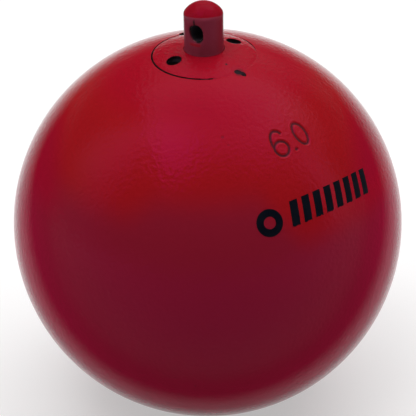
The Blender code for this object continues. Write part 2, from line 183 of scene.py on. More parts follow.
def shade(mesh, sharp, state):
    """Smooth shading but for edges past an angle. It also counts open edges: a closed piece has none."""
    mesh.shade_smooth()
    mesh.set_sharp_from_angle(angle=math.radians(sharp))
    check = bmesh.new()
    check.from_mesh(mesh)
    open_edges = sum(1 for edge in check.edges if not edge.is_manifold)
    check.free()
    print(f"{state}: {len(mesh.polygons)} faces, {open_edges} open edges")


def make_object(name, bm, materials, sharp=35):
    """An object of a bmesh, with doubles merged and faces outward."""
    bmesh.ops.remove_doubles(bm, verts=bm.verts, dist=DOUBLES)
    bmesh.ops.recalc_face_normals(bm, faces=bm.faces)
    mesh = bpy.data.meshes.new(name)
    bm.to_mesh(mesh)
    bm.free()
    shade(mesh, sharp, name)
    for material in materials:
        mesh.materials.append(material)
    return new_object(name, mesh)


def settle(obj, sharp=35):
    """Turn what an object's modifiers make into its own plain mesh, and take the modifiers off."""
    bpy.context.view_layer.update()
    grown = obj.evaluated_get(bpy.context.evaluated_depsgraph_get())
    mesh = bpy.data.meshes.new_from_object(grown)
    obj.modifiers.clear()
    obj.data = mesh
    shade(mesh, sharp, f"{obj.name}, finished")
    return obj


def hand_over(obj, body, slot, *nodes):
    """The piece rides on a body and hides the CAD nodes that it stands for. Its slot is not used."""
    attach(obj, body)
    if nodes:
        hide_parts(*nodes)


# %% [markdown]
# ## Making node trees
# Materials, the studio's light and the Geometry Nodes tools are all node trees. A small bench that adds
# a node, fills its inputs and links what comes from other nodes keeps each recipe to a line per step.


# %% A bench for node trees
class Bench:
    """A node tree that is being built."""

    def __init__(self, tree):
        self.tree = tree

    def node(self, kind, inputs=None, **settings):
        """Add a node. An input is a plain value, or the output socket of another node."""
        made = self.tree.nodes.new(kind)
        for key, value in settings.items():
            setattr(made, key, value)
        for key, value in (inputs or {}).items():
            if isinstance(value, bpy.types.NodeSocket):
                self.tree.links.new(value, made.inputs[key])
            else:
                made.inputs[key].default_value = value
        return made

    def math(self, operation, *values):
        return self.node("ShaderNodeMath", dict(enumerate(values)), operation=operation).outputs[0]

    def vector(self, operation, *values):
        made = self.node("ShaderNodeVectorMath", dict(enumerate(values)), operation=operation)
        return made.outputs["Value" if operation in ("LENGTH", "DOT_PRODUCT", "DISTANCE") else "Vector"]

    def scaled(self, vector, scale):
        made = self.node("ShaderNodeVectorMath", {"Vector": vector, "Scale": scale}, operation="SCALE")
        return made.outputs["Vector"]

    def parts(self, vector):
        """The X, Y and Z of a vector."""
        return self.node("ShaderNodeSeparateXYZ", {"Vector": vector}).outputs

    def joined(self, x, y, z):
        """A vector of X, Y and Z."""
        return self.node("ShaderNodeCombineXYZ", {"X": x, "Y": y, "Z": z}).outputs[0]

    def fade(self, value, start, end, low=0.0, high=1.0):
        """A smooth change from low to high while value goes from start to end."""
        inputs = {"Value": value, "From Min": start, "From Max": end, "To Min": low, "To Max": high}
        return self.node("ShaderNodeMapRange", inputs, interpolation_type="SMOOTHSTEP").outputs[0]

    def fall(self, value, start, end, high=1.0):
        """A smooth change from high to nothing while value goes from start to end."""
        return self.fade(value, start, end, high, 0.0)

    def product(self, *values):
        """Several values multiplied."""
        total = values[0]
        for value in values[1:]:
            total = self.math("MULTIPLY", total, value)
        return total

    def blend(self, share, first, second):
        """A mix of two colours."""
        return self.node("ShaderNodeMix", {0: share, 6: first, 7: second}, data_type="RGBA").outputs[2]

    def noise(self, place, scale, detail, roughness=0.5):
        inputs = {"Vector": place, "Scale": scale, "Detail": detail, "Roughness": roughness}
        return self.node("ShaderNodeTexNoise", inputs).outputs[0]


# %% A finish and its shader
def new_finish(name):
    """A new material with its bench, its shader and the object's own coordinates."""
    material = bpy.data.materials.new(name)
    material.use_nodes = True
    bench = Bench(material.node_tree)
    shader = material.node_tree.nodes["Principled BSDF"]
    place = bench.node("ShaderNodeTexCoord").outputs["Object"]
    return material, bench, shader, place


def connect(bench, shader, **sockets):
    """Link outputs to the shader's inputs. An underscore in a name stands for a space."""
    for name, socket in sockets.items():
        bench.tree.links.new(socket, shader.inputs[name.replace("_", " ")])


# %% [markdown]
# ## Red enamel
# The ball was sprayed and stoved, so the paint is glossy but not flat: it shows a fine orange peel, some
# long waves from the casting below, and a few dust nibs. The peel is too shallow for geometry, so it is
# bump. A few knocks and specks are named by where they sit.

# %% Colours of the enamel
RED = (0.383, 0.0082, 0.0125, 1)
DEEP_RED = (0.367, 0.0078, 0.0125, 1)
# Painted shade: a darker, bluer red for the ball's lower half.
LOW_SHADE_RED = (0.262, 0.0115, 0.031, 1)
# Painted reflection: a bluer red on the ball's crown.
CROWN_REFLECTION_RED = (0.385, 0.005, 0.0175, 1)
# Painted reflection and shade: a darker, bluer red on the upper sides.
SHOULDER_REFLECTION_RED = (0.35, 0.006, 0.024, 1)
# Lit and shaded copies of the spindle's red: the dome in painted light, the side in painted shade.
LIT_DOME_RED = (0.31, 0.0055, 0.0165, 1)
SHADED_SIDE_RED = (0.272, 0.034, 0.062, 1)
# Painted shade: near-black bare iron just below the skin, in holes, seam and grooves.
SHADED_BARE_IRON = (0.016, 0.015, 0.016, 1)
BORE_IRON = (0.062, 0.05, 0.062, 1)

# %% Peel, nibs and knocks
PEEL_SCALE, PEEL_HEIGHT = 860, 0.26
WAVE_SCALE, WAVE_HEIGHT = 150, 0.13
NIB_HEIGHT = 0.012
KNOCK_DEPTH = 0.06


def at_polar(polar, azimuth, radius=BALL_RADIUS):
    """The point at a polar angle from the top and an azimuth, in degrees."""
    polar, azimuth = math.radians(polar), math.radians(azimuth)
    flat = radius * math.sin(polar)
    return Vector((*on_circle(flat, azimuth), radius * math.cos(polar)))


# Where, how wide, how deep and how much darker.
BALL_KNOCKS = (
    (at_polar(35.1, -82.2), 0.55 * MM, 0.9, 0.35),
    (at_polar(37.6, -80.1), 0.4 * MM, 0.7, 0.25),
    (at_polar(111.3, -94.8), 0.3 * MM, 0.6, 0.8),
    (at_polar(36.0, -62.8), 0.28 * MM, -0.8, 0.0),
    (at_polar(71.0, 20.0), 0.5 * MM, 0.8, 0.3),
    (at_polar(48.0, 150.0), 0.45 * MM, 0.8, 0.5),
)
speck_radius = 10.62 * MM
speck = Vector((*on_circle(speck_radius, math.radians(-54.7)), skin_level(speck_radius)))
PLUG_KNOCKS = ((speck, 0.42 * MM, 1.6, 1.0),)


def skin_relief(bench, place, peel):
    """The height of the paint's surface: fine peel, long waves and rare nibs of dust."""
    waves = bench.math("MULTIPLY", bench.noise(place, WAVE_SCALE, 2), WAVE_HEIGHT * peel)
    relief = bench.math("MULTIPLY_ADD", bench.noise(place, PEEL_SCALE, 2), PEEL_HEIGHT * peel, waves)
    grit = bench.node("ShaderNodeTexVoronoi", {"Vector": place, "Scale": 330.0}).outputs["Distance"]
    rare = bench.fade(bench.noise(place, 95, 1), 0.62, 0.7)
    return bench.math("MULTIPLY_ADD", bench.product(bench.fall(grit, 0.0, 0.16), rare), NIB_HEIGHT, relief)


print("Knocks:", len(BALL_KNOCKS), "on the ball,", len(PLUG_KNOCKS), "on the plug")

# %% [markdown]
# The ball's lower half is painted darker and bluer, a painted shade and painted reflection of the dim
# front, reaching higher in the middle than at the sides. Down in a hole the spray hardly reaches, and the
# paint gives way to bare metal, painted near black as painted shade. How deep a point lies follows from its
# distance to the ball's centre, which needs no map.


# %% Where the red changes
def on_the_ball(bench, value, start, end, low=0.0, high=1.0):
    """A fade whose start and end are shares of the ball's radius."""
    return bench.fade(value, start * BALL_RADIUS, end * BALL_RADIUS, low, high)


def enamel_red(bench, place):
    """The paint's red on ball and plug, with painted shade on the lower half and painted reflection on the
    crown and upper sides.
    """
    sideways, _, height = bench.parts(place)
    cloud = bench.fade(bench.noise(place, 22, 3, 0.55), 0.35, 0.7)
    paint = bench.blend(cloud, RED, DEEP_RED)
    # Painted shade: the lower half darkens and turns bluer, higher in the middle than at the sides.
    shade_reach_right = on_the_ball(bench, sideways, 0.2, 0.5, 0.0, 0.22 * BALL_RADIUS)
    shade_reach_left = on_the_ball(bench, sideways, -0.42, -0.2, 0.08 * BALL_RADIUS, 0.0)
    shade_level = bench.math("ADD", height, bench.math("MAXIMUM", shade_reach_right, shade_reach_left))
    run = on_the_ball(bench, shade_level, 0.5, 0.68, 0.85, 0.0)
    low_shade = bench.math("ADD", run, on_the_ball(bench, height, 0.1, 0.5, 0.15, 0.0))
    paint = bench.blend(low_shade, paint, LOW_SHADE_RED)
    # Painted reflection: the ball's crown is bluer.
    paint = bench.blend(on_the_ball(bench, height, 0.8, 0.92), paint, CROWN_REFLECTION_RED)
    # Painted reflection and shade: the upper sides are darker and bluer.
    outer = on_the_ball(bench, bench.math("ABSOLUTE", sideways), 0.64, 0.8)
    shoulder_reflection = bench.product(outer, on_the_ball(bench, height, 0.32, 0.5))
    return bench.blend(shoulder_reflection, paint, SHOULDER_REFLECTION_RED)


# %% Where the paint thins out
PLUG_TOP_LOW, PLUG_TOP_HIGH = 49 * MM, 51 * MM  # between these levels the plug's top begins


def enamel_wear(bench, place, crown):
    """How bare the metal is just below the skin, which is also painted shade in holes, seam and grooves,
    and how far down a bore a point lies.
    """
    sideways, _, height = bench.parts(place)
    from_axis = bench.vector("LENGTH", bench.vector("MULTIPLY", place, (1, 1, 0)))
    share = bench.math("DIVIDE", from_axis, PLUG_RADIUS)
    dome = bench.math("MULTIPLY_ADD", bench.product(share, share), -crown, crown)
    dome = bench.math("MAXIMUM", dome, 0.0)
    sphere_depth = bench.math("SUBTRACT", BALL_RADIUS, bench.vector("LENGTH", place))
    depth = bench.math("ADD", sphere_depth, dome)
    ragged = bench.math("MULTIPLY_ADD", bench.noise(place, 1400, 2), 0.06 * MM, depth)
    # Painted shade: the near black begins closer to the skin on the plug's top, more so on the left.
    thin = bench.fall(sideways, MM, 6 * MM, 0.04 * MM)
    thin = bench.product(thin, bench.fade(height, PLUG_TOP_LOW, PLUG_TOP_HIGH))
    limit = bench.fade(height, PLUG_TOP_LOW, PLUG_TOP_HIGH, 0.42 * MM, 0.17 * MM)
    begins, ends = bench.math("SUBTRACT", 0.07 * MM, thin), bench.math("SUBTRACT", limit, thin)
    return bench.fade(ragged, begins, ends), bench.fade(depth, 0.6 * MM, 1.4 * MM)


def ball_coat(bench, place):
    """Colour, bareness and depth down a bore, on the ball."""
    return (enamel_red(bench, place), *enamel_wear(bench, place, 0.0))


def plug_coat(bench, place):
    """The same on the plug, whose top is a little higher."""
    return (enamel_red(bench, place), *enamel_wear(bench, place, PLUG_CROWN))


# %% [markdown]
# A lacquer's mirror grows stronger as the surface turns away, which Layer Weight tells the shader. Here it
# is faint when seen flat, dies away on the slant and comes back as a narrow pale rim. A thin red haze,
# made with the shader's sheen, keeps the lower half from going dark before that rim.

# %% The enamel's gloss
PAINT_IOR = 1.2
PAINT_TINT = (1.0, 0.0, 0.42, 1)
LOW_GLOSS, HIGH_GLOSS = 0.5, 0.95  # seen flat, on the lower and on the upper half
RIM_HAZE = 0.76
HAZE_ROUGHNESS = 0.45
HAZE_TINT = (1.0, 0.0, 0.12, 1)


def gloss_and_haze(bench, place, top_gloss, rim_gloss, late):
    """The specular level and the sheen. Late are two levels between which the gloss lasts longer."""
    sideways, _, height = bench.parts(place)
    facing = bench.node("ShaderNodeLayerWeight", {"Blend": 0.5}).outputs["Facing"]
    later = bench.fade(height, *late, 0.0, 0.26)
    flat_gloss = on_the_ball(bench, height, 0.15, 0.45, LOW_GLOSS, HIGH_GLOSS)
    less = on_the_ball(bench, height, 0.78, 0.92, 0.0, HIGH_GLOSS - top_gloss)
    flat_gloss = bench.math("SUBTRACT", flat_gloss, less)
    face = bench.fade(bench.math("SUBTRACT", facing, later), 0.14, 0.46, flat_gloss, 0.0)
    upper_left = on_the_ball(bench, height, 0.34, 0.6, 0.0, 0.04)
    upper_left = bench.product(upper_left, on_the_ball(bench, sideways, -0.85, -0.4, 1.0, 0.0))
    sooner = bench.math("ADD", on_the_ball(bench, height, 0.0, 0.5, 0.0, 0.05), upper_left)
    rim = bench.fade(bench.math("SUBTRACT", facing, sooner), 0.53, 0.71)
    rim_level = on_the_ball(bench, height, -0.75, -0.5, 0.5 * rim_gloss, rim_gloss)
    rim_level = bench.math("ADD", rim_level, bench.fade(facing, 0.72, 0.92, 0.0, 3.2 * rim_gloss))
    haze = on_the_ball(bench, height, 0.2, 0.6, RIM_HAZE, 0.0)
    haze = bench.product(haze, bench.fade(facing, 0.66, 0.84, 1.0, 0.35))
    return bench.math("MAXIMUM", face, bench.product(rim, rim_level)), haze


# %% Make the enamel
BALL_LATE = (0.55 * BALL_RADIUS, 0.85 * BALL_RADIUS)


def make_enamel(name, coat, peel, knocks=(), top_gloss=0.42, rim_gloss=0.25, late=BALL_LATE):
    """Red paint that thins out to bare metal just below the skin, painted near black as painted shade. The
    coat says where it does.
    """
    material, bench, shader, place = new_finish(name)
    paint, bare_and_shade, inner = coat(bench, place)
    relief = skin_relief(bench, place, peel)
    for spot, width, sunk, dark in knocks:
        near = bench.fall(bench.vector("DISTANCE", place, spot), 0.45 * width, 1.1 * width)
        relief = bench.math("MULTIPLY_ADD", near, -KNOCK_DEPTH * sunk, relief)
        if dark:
            bare_and_shade = bench.math("MAXIMUM", bare_and_shade, bench.math("MULTIPLY", near, dark))
    colour = bench.blend(bare_and_shade, paint, bench.blend(inner, SHADED_BARE_IRON, BORE_IRON))
    roughness = bench.fade(bench.noise(place, 60, 4, 0.6), 0.3, 0.75, 0.045, 0.08)
    roughness = bench.math("MULTIPLY_ADD", bare_and_shade, 0.5, roughness)
    bump = bench.node("ShaderNodeBump", {"Strength": 0.55, "Distance": MM, "Height": relief})
    connect(bench, shader, Base_Color=colour, Roughness=roughness, Normal=bump.outputs[0])
    gloss, haze = gloss_and_haze(bench, place, top_gloss, rim_gloss, late)
    connect(bench, shader, Specular_IOR_Level=gloss, Sheen_Weight=haze)
    shader.inputs["IOR"].default_value = PAINT_IOR
    shader.inputs["Specular Tint"].default_value = PAINT_TINT
    shader.inputs["Sheen Roughness"].default_value = HAZE_ROUGHNESS
    shader.inputs["Sheen Tint"].default_value = HAZE_TINT
    return material


ball_enamel = make_enamel("ball_enamel", ball_coat, 1.0, BALL_KNOCKS)
plug_enamel = make_enamel("plug_enamel", plug_coat, 1.7, PLUG_KNOCKS)
print("Enamels:", ball_enamel.name, plug_enamel.name)

# %% [markdown]
# ## The spindle's paint
# The spindle's side is painted a darker maroon than its dome, as painted shade, with a painted highlight
# towards its right edge, and the edge between the two tones reaches higher in front. The drilled eye was
# cleared again after painting and is painted near black inside as painted shade, a brighter band on its
# lower lip is a painted highlight, and a thin scratch runs from it up to the dome's edge. All of that is
# told by distances from the eye's axis: forward along it, aside of it and above it.

# %% Places on the spindle
EYE_LEVEL = SPINDLE_TOP - 7.5 * MM
EYE_ANGLE = math.radians(-115)
EYE_HALF_WIDTH, EYE_HALF_HEIGHT = 1.95 * MM, 2.5 * MM
EYE_FORWARD = Vector((*on_circle(1, EYE_ANGLE), 0))
EYE_ACROSS = Vector((-EYE_FORWARD.y, EYE_FORWARD.x, 0))
CROWN_EDGE = 68.5 * MM
SHADE_EDGE_SLOPE = 0.2  # the painted shade's edge reaches higher in front
print("Eye", round(1000 * EYE_LEVEL, 2), "mm up, facing", round(math.degrees(EYE_ANGLE)), "degrees")


# %% Paint the spindle
def bare_and_shaded_eye(bench, place, aside, above):
    """1 in the eye and on its ragged edge, which leans a little and is taller than wide. The eye's near
    black is bare steel and painted shade.
    """
    leaning = bench.math("MULTIPLY_ADD", above, 0.24, aside)
    wide = bench.math("DIVIDE", leaning, EYE_HALF_WIDTH + 0.1 * MM)
    tall = bench.math("DIVIDE", bench.math("ADD", above, 0.15 * MM), EYE_HALF_HEIGHT + 0.05 * MM)
    reach = bench.math("SQRT", bench.math("ADD", bench.product(wide, wide), bench.product(tall, tall)))
    worn = bench.math("MULTIPLY_ADD", bench.noise(place, 900, 2), 0.16, reach)
    return bench.fall(worn, 1.0, 1.18)


def spindle_coat(bench, place):
    """Colour, bareness and depth in the eye: a side in painted shade, a near-black eye that is partly
    painted shade, a painted highlight on the eye's lip and the scratch above it.
    """
    sideways, backward, level = bench.parts(place)
    aside = bench.vector("DOT_PRODUCT", place, EYE_ACROSS)
    above = bench.math("SUBTRACT", level, EYE_LEVEL)
    in_front = bench.fade(bench.vector("DOT_PRODUCT", place, EYE_FORWARD), 0.0, MM)

    # Painted shade: below this tilted edge the side takes the darker maroon, lighter towards the right edge
    # as a painted highlight.
    tilted = bench.math("MULTIPLY_ADD", backward, SHADE_EDGE_SLOPE, level)
    ragged = bench.math("MULTIPLY_ADD", bench.noise(place, 700, 2), 0.1 * MM, tilted)
    side = bench.fall(ragged, CROWN_EDGE - 0.05 * MM, CROWN_EDGE + 0.12 * MM)
    lighter_right_edge = bench.fade(sideways, 2.6 * MM, 5.2 * MM, 1.0, 0.55)
    paint = bench.blend(bench.product(side, lighter_right_edge), LIT_DOME_RED, SHADED_SIDE_RED)
    # Painted highlight: a brighter red band on the eye's lower lip.
    lip = bench.product(bench.fade(above, -3.9 * MM, -3.6 * MM), bench.fall(above, -3.1 * MM, -2.7 * MM))
    lip_highlight_aside = bench.math("ABSOLUTE", bench.math("ADD", aside, 0.2 * MM))
    lip = bench.product(lip, bench.fall(lip_highlight_aside, 1.2 * MM, 2.1 * MM, 0.7), in_front)
    paint = bench.blend(lip, paint, RED)

    # Painted shade: the eye's whole inside goes near black.
    inward = bench.vector("LENGTH", bench.vector("MULTIPLY", place, (1, 1, 0)))
    inside = bench.fall(inward, 0.83 * SPINDLE_RADIUS, 0.9 * SPINDLE_RADIUS)
    near = bench.fall(bench.math("ABSOLUTE", above), 3.2 * MM, 3.4 * MM)
    eye = bench.math("MAXIMUM", bare_and_shaded_eye(bench, place, aside, above), bench.math("MULTIPLY", inside, near))
    scratch_aside = bench.math("ABSOLUTE", bench.math("ADD", aside, 0.35 * MM))
    scratch = bench.product(
        bench.fall(scratch_aside, 0.15 * MM, 0.42 * MM, 0.85),
        in_front,
        bench.fade(above, 2 * MM, 2.4 * MM),
        bench.fall(above, 3.6 * MM, 4.8 * MM),
    )
    bare_and_shade = enamel_wear(bench, place, 0.0)[0]
    return paint, bench.math("MAXIMUM", bare_and_shade, bench.math("MAXIMUM", eye, scratch)), inside


spindle_enamel = make_enamel(
    "spindle_enamel", spindle_coat, 0.7, top_gloss=0.24, rim_gloss=0.06, late=(CROWN_EDGE - MM, CROWN_EDGE)
)
print("Nodes of the spindle's enamel:", len(spindle_enamel.node_tree.nodes))

# %% [markdown]
# ## Metals, rubber and ink
# The pieces inside are seen when the swivel is taken apart. Each metal keeps the marks of how it was
# made: rings from the lathe, a fine grain, a mottled plating or a dull cast surface. Rubber and ink are
# made by the same recipe without its metallic part.


# %% Make a turned or plated metal
LATHE_FEED = 0.12 * MM  # from one ring of the lathe's tool to the next


def make_metal(name, colour, tint, roughness, rings=0.0, grain=900.0, relief=0.02, metallic=1.0):
    """A metal or rubber with a mottled colour, lathe rings round Z and a fine grain."""
    material, bench, shader, place = new_finish(name)
    mottle = bench.fade(bench.noise(place, 260, 4, 0.6), 0.3, 0.72)
    stain = bench.fade(bench.noise(place, 70, 3, 0.6), 0.45, 0.7, 0.0, 0.5)
    shade = bench.blend(mottle, (*colour, 1), (*tint, 1))
    shade = bench.blend(stain, shade, tuple(0.55 * c for c in tint) + (1,))
    distance = bench.vector("LENGTH", bench.vector("MULTIPLY", place, (1, 1, 0)))
    along = bench.math("ADD", distance, bench.parts(place)["Z"])
    groove = bench.math("SINE", bench.math("MULTIPLY", along, 2 * math.pi / LATHE_FEED))
    height = bench.math("MULTIPLY_ADD", groove, 0.25 * rings, bench.noise(place, grain, 3, 0.6))
    bump = bench.node("ShaderNodeBump", {"Strength": 0.6, "Distance": relief * MM, "Height": height})
    dull = bench.fade(bench.noise(place, 180, 4, 0.65), 0.3, 0.75, 0.8 * roughness, 1.3 * roughness)
    connect(bench, shader, Base_Color=shade, Roughness=dull, Normal=bump.outputs[0])
    shader.inputs["Metallic"].default_value = metallic
    return material


machined_iron = make_metal("machined_iron", (0.16, 0.155, 0.15), (0.1, 0.095, 0.09), 0.42, rings=1.0)
black_steel = make_metal("black_steel", (0.035, 0.035, 0.037), (0.02, 0.02, 0.021), 0.4, grain=1600)
spindle_steel = make_metal("spindle_steel", (0.42, 0.41, 0.4), (0.3, 0.29, 0.28), 0.28, rings=1.0)
bearing_steel = make_metal(
    "bearing_steel", (0.62, 0.62, 0.63), (0.5, 0.5, 0.52), 0.14, rings=0.5, relief=0.005
)
zinc_steel = make_metal("zinc_steel", (0.56, 0.57, 0.56), (0.42, 0.44, 0.47), 0.3, grain=1300)
bronze = make_metal("bronze", (0.56, 0.34, 0.14), (0.42, 0.24, 0.09), 0.33, rings=1.0, relief=0.015)
cage_brass = make_metal("cage_brass", (0.72, 0.53, 0.22), (0.58, 0.41, 0.15), 0.3, rings=0.6, relief=0.01)
lead = make_metal("lead", (0.25, 0.26, 0.28), (0.17, 0.18, 0.2), 0.6, grain=500, relief=0.08)
seal_rubber = make_metal(
    "seal_rubber", (0.018, 0.018, 0.018), (0.03, 0.03, 0.03), 0.55, grain=2400, metallic=0
)
black_ink = make_metal(
    "black_ink", (0.004, 0.005, 0.0095), (0.006, 0.0075, 0.0125), 0.4, grain=1100, metallic=0
)
INK_IOR = 1.08  # a flat ink has hardly any mirror
black_ink.node_tree.nodes["Principled BSDF"].inputs["IOR"].default_value = INK_IOR
print("Finishes:", len(bpy.data.materials))

# %% [markdown]
# ## Tools of Geometry Nodes
# Threads, punched marks, printed bars and the pockets of a ball cage follow a rule, so each gets a node
# tree with named sizes. A tree works like a shop tool: it is made once, set to its sizes and run on a
# piece. It ends in real geometry that wears its finish, because the export drops instances.


# %% A bench for geometry
MERGE_WITHIN = 1e-6  # metres


class ToolBench(Bench):
    """A Geometry Nodes tree that is being built."""

    def moved(self, geometry, **how):
        """Geometry whose points are moved by an Offset or to a Position."""
        return self.node("GeometryNodeSetPosition", {"Geometry": geometry, **how}).outputs[0]

    def copies(self, points, part, **how):
        """A part on each of some points, as real geometry."""
        made = self.node("GeometryNodeInstanceOnPoints", {"Points": points, "Instance": part, **how})
        return self.node("GeometryNodeRealizeInstances", {"Geometry": made.outputs[0]}).outputs[0]

    def cut(self, body, blades, blades_cross=False):
        """A body from which blades have cut their shape."""
        inputs = {"Mesh 1": body, "Mesh 2": blades, "Self Intersection": blades_cross}
        made = self.node("GeometryNodeMeshBoolean", inputs, operation="DIFFERENCE", solver="EXACT")
        return made.outputs[0]

    def spin(self, angle):
        """A rotation about Z."""
        return self.node("FunctionNodeEulerToRotation", {0: self.joined(0.0, 0.0, angle)}).outputs[0]

    def sum(self, *parts):
        """Several geometries as one."""
        made = self.node("GeometryNodeJoinGeometry")
        for part in parts:
            self.tree.links.new(part, made.inputs[0])
        return made.outputs[0]

    def merged(self, geometry):
        """A geometry whose points that coincide are one."""
        inputs = {"Geometry": geometry, "Distance": MERGE_WITHIN}
        return self.node("GeometryNodeMergeByDistance", inputs).outputs[0]

    def swung(self, first, second, angle):
        """A vector swung from one direction towards another at right angles to it."""
        onward = self.scaled(second, self.math("SINE", angle))
        return self.vector("ADD", self.scaled(first, self.math("COSINE", angle)), onward)


# %% Make and run a tool
def new_tool(name, **inputs):
    """A tool's bench, inputs and points. Each input is a name, with _ for a space, and a socket's kind."""
    tree = bpy.data.node_groups.new(name, "GeometryNodeTree")
    tree.interface.new_socket("Geometry", in_out="INPUT", socket_type="NodeSocketGeometry")
    for label, kind in inputs.items():
        tree.interface.new_socket(label.replace("_", " "), in_out="INPUT", socket_type=f"NodeSocket{kind}")
    tree.interface.new_socket("Geometry", in_out="OUTPUT", socket_type="NodeSocketGeometry")
    bench = ToolBench(tree)
    place = bench.node("GeometryNodeInputPosition").outputs[0]
    return bench, bench.node("NodeGroupInput").outputs, place


def end_tool(bench, geometry, finish, **selection):
    """The end of every tree: realized instances with a material."""
    real = bench.node("GeometryNodeRealizeInstances", {"Geometry": geometry}).outputs[0]
    dressed = bench.node("GeometryNodeSetMaterial", {"Geometry": real, "Material": finish, **selection})
    bench.node("NodeGroupOutput", {"Geometry": dressed.outputs[0]})
    print(f"Tool {bench.tree.name}: {len(bench.tree.nodes)} nodes")


def run_tool(obj, bench, **sizes):
    """Put a tool on an object and set its inputs by the sockets' identifiers."""
    modifier = obj.modifiers.new(bench.tree.name, "NODES")
    modifier.node_group = bench.tree
    for item in bench.tree.interface.items_tree:
        key = item.name.replace(" ", "_")
        if item.in_out == "INPUT" and key in sizes:
            modifier[item.identifier] = sizes[key]


# %% [markdown]
# ## A thread cutter
# A thread is one groove that winds round a wall. For each point the cutter asks how far along its turn the
# helix is, and moves the point in or out by a V. It leaves points alone that aren't on the wall, so a lock
# hole that bites into the wall stays round, and it runs out softly at both ends.

# %% The thread cutter
WALL_GRIP = 0.04 * MM  # points this near to the wall's radius belong to it
thread_cutter, given, place = new_tool(
    "thread_cutter", Wall_Radius="Float", Pitch="Float", Depth="Float", Low="Float", High="Float",
    Axis="Vector", Finish="Material",
)
bench = thread_cutter
away = bench.parts(bench.vector("SUBTRACT", place, given["Axis"]))
flat = bench.joined(away["X"], away["Y"], 0.0)
radius = bench.vector("LENGTH", flat)
off_wall = bench.math("ABSOLUTE", bench.math("SUBTRACT", radius, given["Wall Radius"]))
on_wall = bench.math("LESS_THAN", off_wall, WALL_GRIP)
turn = bench.math("DIVIDE", bench.math("ARCTAN2", away["Y"], away["X"]), 2 * math.pi)
along = bench.math("FRACT", bench.math("SUBTRACT", bench.math("DIVIDE", away["Z"], given["Pitch"]), turn))
vee = bench.math("SUBTRACT", 1.0, bench.math("ABSOLUTE", bench.math("MULTIPLY_ADD", along, 2.0, -1.0)))
start = bench.fade(away["Z"], given["Low"], bench.math("ADD", given["Low"], given["Pitch"]))
end = bench.fall(away["Z"], bench.math("SUBTRACT", given["High"], given["Pitch"]), given["High"])
depth = bench.product(vee, start, end, on_wall, given["Depth"])
push = bench.scaled(bench.vector("NORMALIZE", flat), depth)
end_tool(bench, bench.moved(given["Geometry"], Offset=push), given["Finish"], Selection=on_wall)


def cut_thread(obj, radius, pitch, depth, low, high, finish, centre=(0, 0)):
    """Cut a thread into a round wall. The depth is positive in a bore and negative on a screw."""
    run_tool(
        obj, thread_cutter, Wall_Radius=radius, Pitch=pitch, Depth=depth, Low=low, High=high,
        Axis=(*centre, 0), Finish=finish,
    )


# %% [markdown]
# ## The ball
# The real ball is cast, turned true and bored. Its mouth isn't a plain circle: two lock screws are tapped
# half into the plug and half into the ball, so each side of the seam steps round them. Rings of equally
# many points follow that outline, round its painted edge and then run out over the whole ball.

# %% The seam's outline
NOTCH_STEPS = 24  # round each lock hole
ARC_STEPS = (78, 103)  # from the front hole to the rear one, and on to the front one again
EDGE_STEPS = 7  # over the round edge


def seam_ring(main, notch, outward, is_open=(True, True)):
    """Points (x, y) once round at radius main, stepping round each open lock hole at radius notch."""
    points = []
    for i, angle in enumerate(LOCK_ANGLES):
        half = math.acos((main**2 + SEAM_RADIUS**2 - notch**2) / (2 * main * SEAM_RADIUS))
        side = math.acos((main**2 - SEAM_RADIUS**2 - notch**2) / (2 * SEAM_RADIUS * notch))
        sweep = 2 * side if outward else 2 * side - 2 * math.pi
        for k in range(NOTCH_STEPS):
            share = k / NOTCH_STEPS
            if is_open[i]:
                turn = sweep * share - side
                spot = Vector((SEAM_RADIUS + notch * math.cos(turn), notch * math.sin(turn)))
                spot.rotate(Matrix.Rotation(angle, 2))
            else:
                spot = Vector(on_circle(main, angle - half + 2 * half * share))
            points.append(spot)
        following = LOCK_ANGLES[(i + 1) % 2] + (2 * math.pi if i else 0)
        span = following - angle - 2 * half
        for k in range(ARC_STEPS[i]):
            points.append(Vector(on_circle(main, angle + half + span * k / ARC_STEPS[i])))
    return points


def rounded_edge(main, notch, side):
    """Rows from the skin over a round edge to the wall. Side is 1 on the ball and -1 on the plug."""
    rows = []
    for j in range(EDGE_STEPS + 1):
        turn = math.pi / 2 * (1 - j / EDGE_STEPS)
        back = SEAM_ROUND * (1 - math.cos(turn))
        drop = SEAM_WORN * (1 - math.sin(turn))
        outline = seam_ring(main + side * back, notch + back, side > 0)
        rows.append([(p.x, p.y, skin_level(p.length) - drop) for p in outline])
    return rows


print("Points round the seam:", len(seam_ring(BORE_RADIUS, LOCK_HOLE_RADIUS, True)))

# %% The ball's outer skin and mouth
RUN_OUT = 19.5 * MM  # where the rings have become round
POLAR_STEPS = 90
RUN_OUT_SHARES = (0.8, 0.6, 0.42, 0.26, 0.13, 0.05, 0.015)
edge_rows = rounded_edge(BORE_RADIUS, LOCK_HOLE_RADIUS, 1)
lip = seam_ring(BORE_RADIUS + SEAM_ROUND, LOCK_HOLE_RADIUS + SEAM_ROUND, True)
lip_angles = [math.atan2(p.y, p.x) for p in lip]

skin_rows = []
first = math.asin(RUN_OUT / BALL_RADIUS)
for j in range(1, POLAR_STEPS):
    polar = math.pi + (first - math.pi) * j / (POLAR_STEPS - 1)
    skin_rows.append(ring(BALL_RADIUS * math.sin(polar), BALL_RADIUS * math.cos(polar), lip_angles))
for share in RUN_OUT_SHARES:
    row = []
    for spot, angle in zip(lip, lip_angles):
        radius = spot.length + (RUN_OUT - spot.length) * share
        row.append((*on_circle(radius, angle), skin_level(radius)))
    skin_rows.append(row)
print("Rings on the skin:", len(skin_rows) + len(edge_rows))

